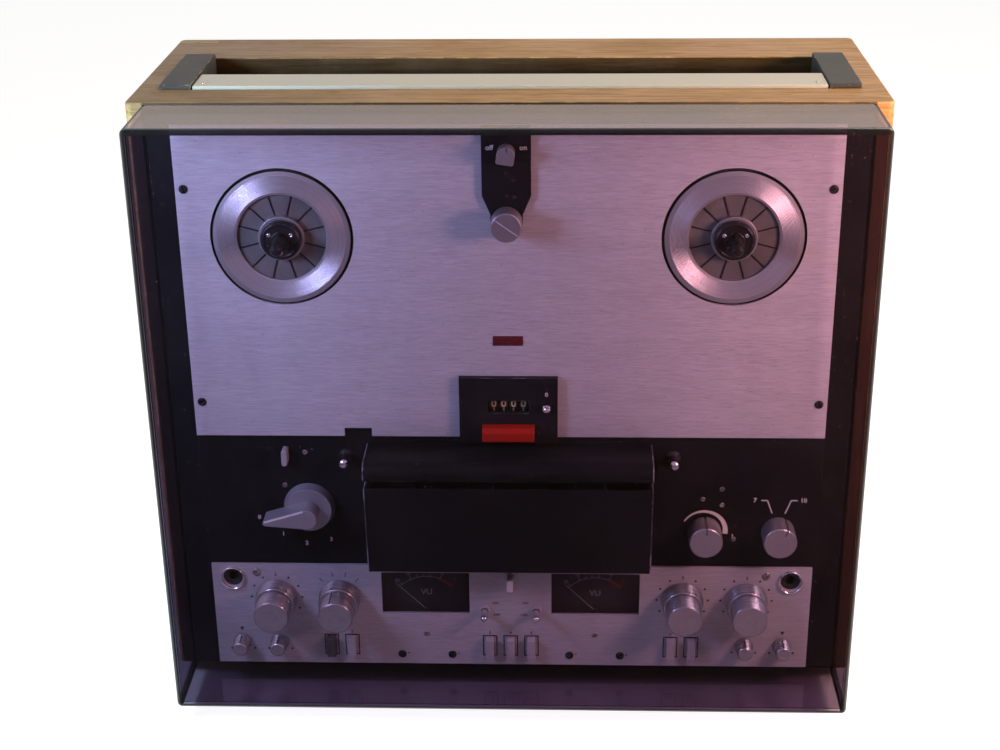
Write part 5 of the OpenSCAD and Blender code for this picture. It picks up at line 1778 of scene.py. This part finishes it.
@dataclass
class ControlPanel(Assembly):
    """Lower bright panel with its buttons, levers, sockets and printed marks."""

    scale_r: float = 18.0
    dot_r: float = 0.85
    frame_w: float = 0.65
    frame_gap: float = 0.3
    paddle: Triple = (4.4, 6.0, 3.0)
    ring_r: Point = (7.6, 9.0)
    bore: float = 3.25
    meter_x: float = 59.9
    zero_h: float = 37.4
    zero_screw: Point = (2.1, 0.8)

    def build(self) -> None:
        """Make the panel and all that sits on it."""
        self.dress("control_panel", "lower_panel", 0.3, "panel_metal", PANEL_METAL, PLATE_EDGE)
        for node in PUSH_BUTTONS:
            slot, tone = ("button_dark", BUTTON_DARK) if node == PUSH_BUTTONS[0] else ("button_grey", BUTTON_GREY)
            self.dress(node, f"{node}_key", 0.55, slot, tone, body=node, segments=3)
        self.frames()
        for node in ("toggle_left", "toggle_right", "track_lever"):
            self.lever(node)
        for side in SIDES:
            self.socket(side)
        places = [spot(side * self.meter_x, self.zero_h) for side in SIDES]
        self.seat(screw_heads("meter_screws", places, *self.zero_screw), "screw_steel", SCREW_STEEL)
        self.marks()

    def frames(self) -> None:
        """Set a thin black frame round each push-button, painted shade in the gap round it."""
        made, w, gap = [], self.frame_w, self.frame_gap
        for box in map(Extent.of, PUSH_BUTTONS):
            x0, x1, z0, z1 = box.low.x - gap, box.high.x + gap, box.low.z - gap, box.high.z + gap
            for low, high in (((x0 - w, z0 - w), (x0, z1 + w)), ((x1, z0 - w), (x1 + w, z1 + w)),
                              ((x0, z0 - w), (x1, z0)), ((x0, z1), (x1, z1 + w))):
                # Painted shade: each black bar stands for the shaded gap round a push-button.
                bar = block("bar", (low[0], PLATE - 0.3, low[1]), (high[0], PLATE + 0.2, high[1]))
                made.append(softened(bar, 0.1, 1))
        self.seat(joined("button_frames", made), "button_dark", PLATE_BLACK)

    def lever(self, node: str) -> None:
        """Turn a bat-shaped lever on its ball; the track lever is a plain rod with a flat paddle.

        Args:
            node: the CAD node it stands for.
        """
        box = Extent.of(node)
        at, length = Vector((box.mid.x, box.high.y, box.mid.z)), box.size.y
        out = length - (PLATE - box.low.y)
        ball = [(0, 0), (1.3, 0.3), (2.2, 1.4), (2.4, 2.4), (2.1, 3.5), (1.4, 4.6), (1.4, out + 3.2)]
        bat = [(2.3, out + 4.2), (2.55, length - 3.0), (2.5, length - 1.8), (1.8, length - 0.6), (0, length)]
        rod = [(1.4, length - 1.0), (0, length - 1.0)]
        flat = node == "track_lever"
        made = turned(f"{node}_bat", ball + (rod if flat else bat), at, steps=32)
        self.seat(made, "head_metal", CHROME, body=node, nodes=[node])
        if flat:
            wide, below, above = self.paddle
            paddle = block(f"{node}_paddle", (at.x - wide / 2, box.low.y, at.z - below),
                           (at.x + wide / 2, PLATE - 4.2, at.z + above))
            self.seat(softened(paddle, 0.9, 3), "head_metal", BUTTON_PALE, body=node)

    def socket(self, side: int) -> None:
        """Turn a socket's bright ring, and its black barrel with the bore for the plug.

        Args:
            side: -1 for the left one, 1 for the right one.
        """
        box, (inner, outer), bore = Extent.of("front_jacks"), self.ring_r, self.bore
        at = spot(side * (box.high.x - outer), box.mid.z - FLOOR_GAP)
        deep, front = PLATE - box.high.y, PLATE - box.low.y
        ring = turned(f"front_socket_ring_{SIDES[side]}", [
            (inner, -2.0), (outer - 1.2, -2.0), (outer - 1.2, 0), (outer, 0), (outer, front * 0.55),
            (outer - 0.6, front), (inner + 0.5, front), (inner, front - 0.5), (inner, -2.0)], at, edge=0.2, steps=64)
        self.seat(ring, "jack_chrome", CHROME, nodes=["front_jacks"])
        barrel = turned(f"front_socket_barrel_{SIDES[side]}", [
            (bore, deep), (inner - 0.05, deep), (inner - 0.05, -1.6), (bore + 1.4, -2.4), (bore + 1.2, -2.4),
            (bore, -2.9), (bore, deep)], at, edge=0.2, steps=48)
        self.seat(barrel, "jack_chrome", SOCKET_BLACK, nodes=["front_jacks"])

    def marks(self) -> None:
        """Print the dots, figures and pointers round the controls."""
        made = []
        for body in ("input_knob_left_outer", "volume_knob_outer", "input_knob_right_outer"):
            for turn in range(-120, 121, 30):
                place = axis_at(body) + clock(turn, self.scale_r)
                made.append(dot(place, self.dot_r) if turn else letters("5", 2.6, place))
        for turn in (-42.0, -14.0, 14.0, 42.0):
            made.append(stroke(clock(turn, 17.2).xz, clock(turn, 20.6).xz, 0.6, axis_at("equaliser_knob")))
        for body in TONE_KNOBS:
            at = axis_at(body)
            made.append(pressed("pointer", [(-1.5, 11.4), (0, 8.2), (1.5, 11.4)], at, 0.05))
            made += [dot(at + Vector((side * 8.4, 0, -6.4)), self.dot_r) for side in SIDES]
        for i, box in enumerate(map(Extent.of, PUSH_BUTTONS)):
            made.append(letters(str(i + 1), 2.4, spot(box.mid.x, box.high.z - FLOOR_GAP + 3.0)))
        for body, side in (("toggle_left", 1), ("toggle_right", -1)):
            for word, x, z in (("OFF", 8.6, -4.4), ("ON", 7.6, 5.4)):
                made.append(letters(word, 2.0, axis_at(body) + Vector((side * x, 0, z))))
        for meter in SIDES:
            made += [dot(spot(meter * self.meter_x + 18.0 * side + 4.6, 20.8), 0.6) for side in SIDES]
        self.seat(joined("panel_marks", made), "trim_metal", INK_DARK)


@dataclass
class DoubleKnob(Assembly):
    """Large turned knob of two tiers; the tiers turn on their own or together."""

    name: str
    split: bool = True
    mark_turn: float = -38.0
    tiers: Point = (14.8, 12.4)
    rear_l: float = 13.0
    out: float = 29.0
    clear: float = 0.8
    groove: Point = (0.65, 0.17)

    def build(self) -> None:
        """Turn both tiers and lay in the black pointer marks."""
        rear_body, front_body = (f"{self.name}_{tier}" if self.split else self.name for tier in ("outer", "inner"))
        rear_name, front_name = (f"{self.name}_{tier}_tier" for tier in
                                 (("outer", "inner") if self.split else ("rear", "front")))
        at, (big, small), (pitch, deep) = axis_at(rear_body), self.tiers, self.groove
        clear, step, end = self.clear, self.rear_l, self.out
        root, tail = Shaft.of(rear_body).root, Shaft.of(front_body).root
        bore, gap = (1.9, 0.3) if self.split else (0.0, 0.0)
        rear = [(bore, root), (3.0, root), (3.0, clear), (big - 0.5, clear), (big, clear + 0.6),
                *grooved((big, clear + 0.9), (big - 0.8, step - 1.0), pitch, deep),
                (big - 1.1, step - 0.3), (big - 1.6, step), (bore, step)]
        if self.split:
            rear.append(rear[0])
        front = [(0, tail), (1.6, tail), (1.6, step + gap), (small - 0.3, step + gap), (small, step + gap + 0.3),
                 *grooved((small, step + gap + 0.6), (small - 0.3, end - 0.8), pitch, deep),
                 (small - 0.55, end - 0.25), (small - 1.0, end),
                 *grooved((small - 1.3, end), (0.5, end - 0.5), pitch, deep * 0.7), (0, end - 0.5)]
        for name, profile, body in ((rear_name, rear, rear_body), (front_name, front, front_body)):
            tier = turned(name, profile, at, edge=0.0, steps=64, angle=50.0)
            self.seat(tier, "knob_aluminium", KNOB, body=body, nodes=[body])
        dash = soft_bar(f"{self.name}_dash", at, (-0.55, 0.9 - step, big - 1.6),
                        (0.55, (4.6 if self.split else 11.5) - step, big - 0.65), 0.2, self.mark_turn)
        self.seat(dash, "knob_aluminium", INK_DARK, body=rear_body)
        if not self.split:
            line = soft_bar(f"{self.name}_line", at, (-0.5, 0.6 - end, small - 1.2), (0.5, -step, small + 0.06), 0.2,
                            self.mark_turn)
            self.seat(line, "knob_aluminium", INK_DARK, body=front_body)


@dataclass
class ToneKnob(Assembly):
    """Small turned knob with a black pointer line."""

    body: str
    clear: float = 0.8
    line_w: float = 0.9
    groove: Point = (0.65, 0.17)

    def build(self) -> None:
        """Turn the knob and lay its line along the top."""
        axle, clear, (pitch, deep) = Shaft.of(self.body), self.clear, self.groove
        at, radius, root, tip = axle.at, axle.radius, axle.root, axle.tip
        knob = turned(f"{self.body}_turned", [
            (0, root), (2.5, root), (2.5, clear), (radius - 0.3, clear), (radius, clear + 0.4),
            (radius, clear + 1.8), (radius - 0.7, clear + 2.4),
            *grooved((radius - 0.8, clear + 2.8), (radius - 1.1, tip - 1.0), pitch, deep),
            (radius - 1.4, tip - 0.4), (radius - 2.0, tip),
            *grooved((radius - 2.3, tip), (0.4, tip - 0.2), pitch, deep * 0.7), (0, tip - 0.2)],
            at, edge=0.0, steps=48, angle=50.0)
        self.seat(knob, "knob_aluminium", KNOB, body=self.body, nodes=[self.body])
        line = soft_bar(f"{self.body}_line", at, (-self.line_w / 2, 0.7 - tip, radius - 2.6),
                        (self.line_w / 2, -clear - 2.0, radius - 0.6), 0.2)
        self.seat(line, "knob_aluminium", INK_DARK, body=self.body)


@dataclass
class Meter(Assembly):
    """Meter with its case, printed dial, needle and window."""

    side: int
    swing: float = 45.0
    scale: tuple[tuple[str, float], ...] = (
        ("20", 43.0), ("10", 25.0), ("7", 14.0), ("5", 5.0), ("3", -6.0), ("0", -22.0), ("3", -41.0))
    zero: float = -22.0
    scale_r: float = 26.0
    needle_l: float = 30.0
    boss: float = 2.0

    def build(self, case: Piece, window: Piece) -> None:
        """Dress the case and window, print the dial and make the needle.

        Args:
            case: this meter's case.
            window: this meter's window.
        """
        name = SIDES[self.side]
        case.name, window.name = f"meter_case_{name}", f"meter_window_{name}_pane"
        self.seat(case, "meter_black", METER_BLACK, nodes=["meter_cases"])
        self.seat(window, "meter_clear", WINDOW, nodes=["meter_windows"])
        body = f"meter_needle_{name}"
        self.needle(body)
        self.dial(name, axis_at(body, Extent.of(body).high.y + 0.25))

    def needle(self, body: str) -> None:
        """Make a thin tapered needle on its dark boss, at its left rest.

        Args:
            body: the needle's body.
        """
        at, length, boss = axis_at(body, Extent.of(body).high.y), self.needle_l, self.boss
        needle = pressed("blade", [(-0.35, -4.0), (0.35, -4.0), (0.22, length), (-0.22, length)],
                         at + Vector((0, -1.6, 0)), 0.5)
        spun(softened(needle, 0.1, 1), self.swing, at)
        hub = turned("boss", [(0, 0), (boss, 0), (boss, 2.6), (boss - 0.5, 3.0), (0, 3.0)], at, edge=0.2, steps=32)
        repaint(hub, 1, lambda mid, normal: True)
        whole = joined(f"{body}_pointer", [hub, needle])
        repaint(whole, 0, lambda mid, normal: (mid - at).length > boss + 2.2)
        self.seat(whole, "needle_cream", NEEDLE, METER_BLACK, body=body, nodes=[body])

    def dial(self, name: str, at: Vector) -> None:
        """Print the arc, the ticks and the figures on the dial.

        Args:
            name: which meter.
            at: the needle's axis on the dial.
        """
        r = self.scale_r
        white = [arc((r, r - 0.5, r - 0.5), self.swing, self.zero, at)]
        red = [arc((r, r - 1.5, r - 1.5), self.zero, -self.swing, at)]
        for text, turn in self.scale:
            group = red if turn < self.zero else white
            group.append(stroke(clock(-turn, r).xz, clock(-turn, r + 2.2).xz, 0.5, at))
            group.append(letters(text, 2.5, at + clock(-turn, r + 4.4)))
        white.append(letters("VU", 4.6, at + Vector((0, 0, 13.0))))
        self.seat(joined(f"meter_scale_{name}", white), "needle_cream", INK_DIM)
        self.seat(joined(f"meter_red_{name}", red), "record_red", INK_RED)


@dataclass
class RearSockets(Assembly):
    """Sockets and mains inlet on the rear panel."""

    barrel: float = 4.2
    insert: float = 3.3
    flange: Point = (6.7, 2.0)
    bore: float = 1.7
    jack_bore: float = 3.25
    inlet_w: float = 20.0
    jack_w: float = 15.0

    def build(self) -> None:
        """Turn each round socket with its insulator, and dress the inlet."""
        shells, inserts, jacks, inlet = [], [], [], []
        rear = Extent.of("rear_panel").high.y
        for part in loose("rear_sockets"):
            if Extent.around(part).size.x > self.inlet_w:
                inlet.append(softened(part, 0.7, 3))
                continue
            box = measured(part)
            at, back, out = Vector((box.mid.x, rear, box.mid.z)), box.low.y - rear, box.high.y - rear
            if box.size.x > self.jack_w:
                jacks.append(self.jack(at, back, out, box.size.x / 2))
            else:
                shells.append(self.phono(at, back, out))
                profile = [(self.bore, -4), (self.insert, -4), (self.insert, out - 0.5), (self.bore, out - 0.9),
                           (self.bore, -4)]
                inserts.append(turned("insert", profile, at, Way.BACK, 0.2, 28))
        self.seat(joined("phono_sockets", shells), "socket_metal", SOCKET_METAL, nodes=["rear_sockets"])
        self.seat(joined("phono_inserts_red", inserts[1::2]), "socket_metal", SOCKET_RED)
        self.seat(joined("phono_inserts_white", inserts[::2]), "socket_metal", SOCKET_WHITE)
        self.seat(joined("rear_jacks", jacks), "socket_metal", SOCKET_METAL, nodes=["rear_sockets"])
        case = joined("mains_inlet", inlet)
        self.seat(case, "rear_black", SOCKET_BLACK, nodes=["rear_sockets"])
        box, pins = Extent.around(case), []
        for x, z in ((-6.0, -2.5), (0.0, 3.0), (6.0, -2.5)):
            foot = Vector((box.mid.x + x, box.low.y + 2, box.mid.z + z))
            pins.append(turned("pin", [(0, 0), (1.5, 0), (1.5, 8.5), (1.0, 10), (0, 10)], foot, Way.BACK, steps=24))
        self.seat(joined("inlet_pins", pins), "socket_metal", SOCKET_METAL)

    def phono(self, at: Vector, back: float, out: float) -> Piece:
        """Turn the plated shell of a phono socket.

        Args:
            at: its axis at the rear panel.
            back: where it starts, from the panel.
            out: where it ends.

        Returns:
            The shell.
        """
        (wide, thick), r, hole = self.flange, self.barrel, self.insert
        return turned("shell", [(hole, back), (r, back), (r, 0), (wide, 0), (wide, thick), (r, thick + 0.3),
                                (r, out - 0.6), (r - 0.4, out), (hole + 0.05, out), (hole, back)],
                      at, Way.BACK, 0.2, 36)

    def jack(self, at: Vector, back: float, out: float, wide: float) -> Piece:
        """Turn a jack's nut and threaded barrel.

        Args:
            at: its axis at the rear panel.
            back: where it starts, from the panel.
            out: where it ends.
            wide: the nut's radius.

        Returns:
            The jack.
        """
        bore, thread = self.jack_bore, wide - 2.5
        profile = [(bore, back), (thread, back), (thread, 0), (wide, 0), (wide, 1.8), (wide - 0.7, 2.5),
                   (thread, 2.5), (thread - 0.3, 2.9), (thread, 3.2), (thread - 0.4, out), (bore + 0.4, out),
                   (bore, out - 0.4), (bore, back)]
        return turned("jack", profile, at, Way.BACK, 0.15, 48)


@dataclass
class Works(Assembly):
    """What is inside: chassis, motors, transformer, circuit boards and loudspeakers."""

    units: tuple[tuple[str, float, str, Finish], ...] = (
        ("chassis_frame", 0.8, "chassis_steel", STEEL), ("drive_motors", 1.6, "motor_grey", MOTOR),
        ("mains_transformer", 0.8, "transformer_iron", IRON), ("circuit_boards", 0.3, "board_green", BOARD),
        ("loudspeakers", 0.8, "speaker_black", CONE))

    def build(self) -> None:
        """Soften and dress each unit."""
        for node, edge, slot, finish in self.units:
            piece = refined(node, f"{node}_unit", edge)
            if finish is MOTOR:
                ringed(piece, Vector((0, 0, 0)), Way.BACK)
            self.seat(piece, slot, finish, nodes=[node])


@dataclass(frozen=True)
class Lamp:
    """A square soft lamp: its place and edge in metres, its power in watts and its colour."""

    name: str
    at: Triple
    size: float
    power: float
    tint: Colour
    aim: Triple = (0.0, 0.0, 0.22)

    def hang(self) -> None:
        """Put the lamp up, facing the recorder."""
        data = bpy.data.lights.new(self.name, "AREA")
        data.size, data.energy, data.color = self.size, self.power, self.tint
        lamp = bpy.data.objects.new(self.name, data)
        lamp.location, lamp.visible_camera = self.at, False
        lamp.rotation_euler = (Vector(self.aim) - Vector(self.at)).to_track_quat("-Z", "Y").to_euler()
        bpy.context.scene.collection.objects.link(lamp)


@dataclass
class Studio:
    """Camera at the photograph's place, soft lamps, white surroundings and a pale floor."""

    focal: float = 1708.10004
    width: float = 1000.0
    tilt: Triple = (0.414022245, 0.0358988921, 0.00405208356)
    eye: Triple = (35.3326862, -1118.76415, 708.438609)
    sky: float = 0.12
    floor: float = 0.34
    floor_lift: float = 0.88
    lamps: tuple[Lamp, ...] = (Lamp("left", (-0.43, -0.33, 0.47), 0.16, 4.8, (0.54, 0.84, 1.0)),
                               Lamp("right", (0.46, -0.33, 0.44), 0.16, 5.4, (1.0, 0.68, 0.48)),
                               Lamp("top", (0.95, 0.35, 1.5), 1.0, 28.0, (1.0, 0.88, 0.70)))

    def build(self) -> None:
        """Set up the view, the light and the floor."""
        self.camera()
        self.world()
        for lamp in self.lamps:
            lamp.hang()
        self.ground()
        bpy.context.scene.view_settings.view_transform = "Standard"

    def camera(self) -> None:
        """Put the camera where the photograph was taken from."""
        data = bpy.data.cameras.new("photo_view")
        data.sensor_fit, data.sensor_width = "HORIZONTAL", 36.0
        data.lens = self.focal * data.sensor_width / self.width
        data.clip_start, data.clip_end = 0.05, 50.0
        camera = bpy.data.objects.new("photo_view", data)
        bpy.context.scene.collection.objects.link(camera)
        turn = Euler(self.tilt, "XYZ").to_matrix() @ Matrix(((1, 0, 0), (0, 0, -1), (0, 1, 0)))
        right, down, ahead = turn
        pose = Matrix((right, -down, -ahead)).transposed().to_4x4()
        camera.matrix_world = Matrix.Translation(Vector(self.eye) * MM) @ pose
        bpy.context.scene.camera = camera

    def world(self) -> None:
        """White to the eye and in reflections, and dimmer as a light."""
        world = bpy.data.worlds.new("white_room")
        world.use_nodes = True
        bpy.context.scene.world = world
        shop = Shop(world.node_tree)
        strength = self.sky + self.seen(shop) * (1.0 - self.sky)
        light = shop.node("ShaderNodeBackground", None, {"Color": (1.0, 1.0, 1.0), "Strength": strength})
        shop.output(light, "ShaderNodeOutputWorld")

    @staticmethod
    def seen(shop: Shop) -> Sock:
        """1 for what the eye sees, straight or by mirror or through glass, and 0 for light."""
        camera, mirror, glass = (shop.node("ShaderNodeLightPath", out=f"Is {kind} Ray")
                                 for kind in ("Camera", "Glossy", "Transmission"))
        return shop.maths("MINIMUM", camera + mirror + glass, 1.0)

    def ground(self) -> None:
        """Lay the pale floor, which shows white in the open and keeps the shadow."""
        deselect()
        bpy.ops.mesh.primitive_plane_add(size=30.0, location=(0, 0, 0))
        floor = named("floor")
        made = bpy.data.materials.new("floor_white")
        made.use_nodes = True
        shop = Shop(made.node_tree)
        speckled = shop.blend(shop.noise(30.0, 3.0), (self.floor,) * 3, (self.floor + 0.02,) * 3)
        pale = shop.surface(Base_Color=speckled, Roughness=0.9, Specular_IOR_Level=0.1)
        behind = shop.node("ShaderNodeLightPath", out="Transparent Depth")
        bare = 1.0 - shop.maths("MINIMUM", behind, 1.0)
        lift = shop.node("ShaderNodeEmission", None, {
            "Color": (1.0, 1.0, 1.0), "Strength": self.seen(shop) * bare * self.floor_lift})
        shop.output(shop.node("ShaderNodeAddShader", None, {0: pale, 1: lift}))
        floor.data.materials.append(made)


def main() -> None:
    """Build every sub-assembly in order."""
    logging.basicConfig(level=logging.INFO, format="%(message)s")
    turntables = [Turntable(f"turntable_{side}") for side in SIDES.values()]
    doubles = [DoubleKnob(name) for name in ("input_knob_left", "volume_knob", "input_knob_right")]
    single = DoubleKnob("equaliser_knob", False, 18.0)
    for unit in (Studio(), Cabinet(), Handle(), Deck(), *turntables, SwitchPlate(), Counter(), HeadGroup(),
                 Selectors(), ControlPanel(), *doubles, single, *map(ToneKnob, TONE_KNOBS)):
        unit.build()
    for side, case, window in zip(SIDES, loose("meter_cases", 0.4), loose("meter_windows", 0.3)):
        Meter(side).build(case, window)
    for unit in (RearSockets(), Works(), DustCover()):
        unit.build()
    deselect()
    for stand_in in [m for m in bpy.data.materials if not m.users]:
        bpy.data.materials.remove(stand_in)


if __name__ == "__main__":
    main()
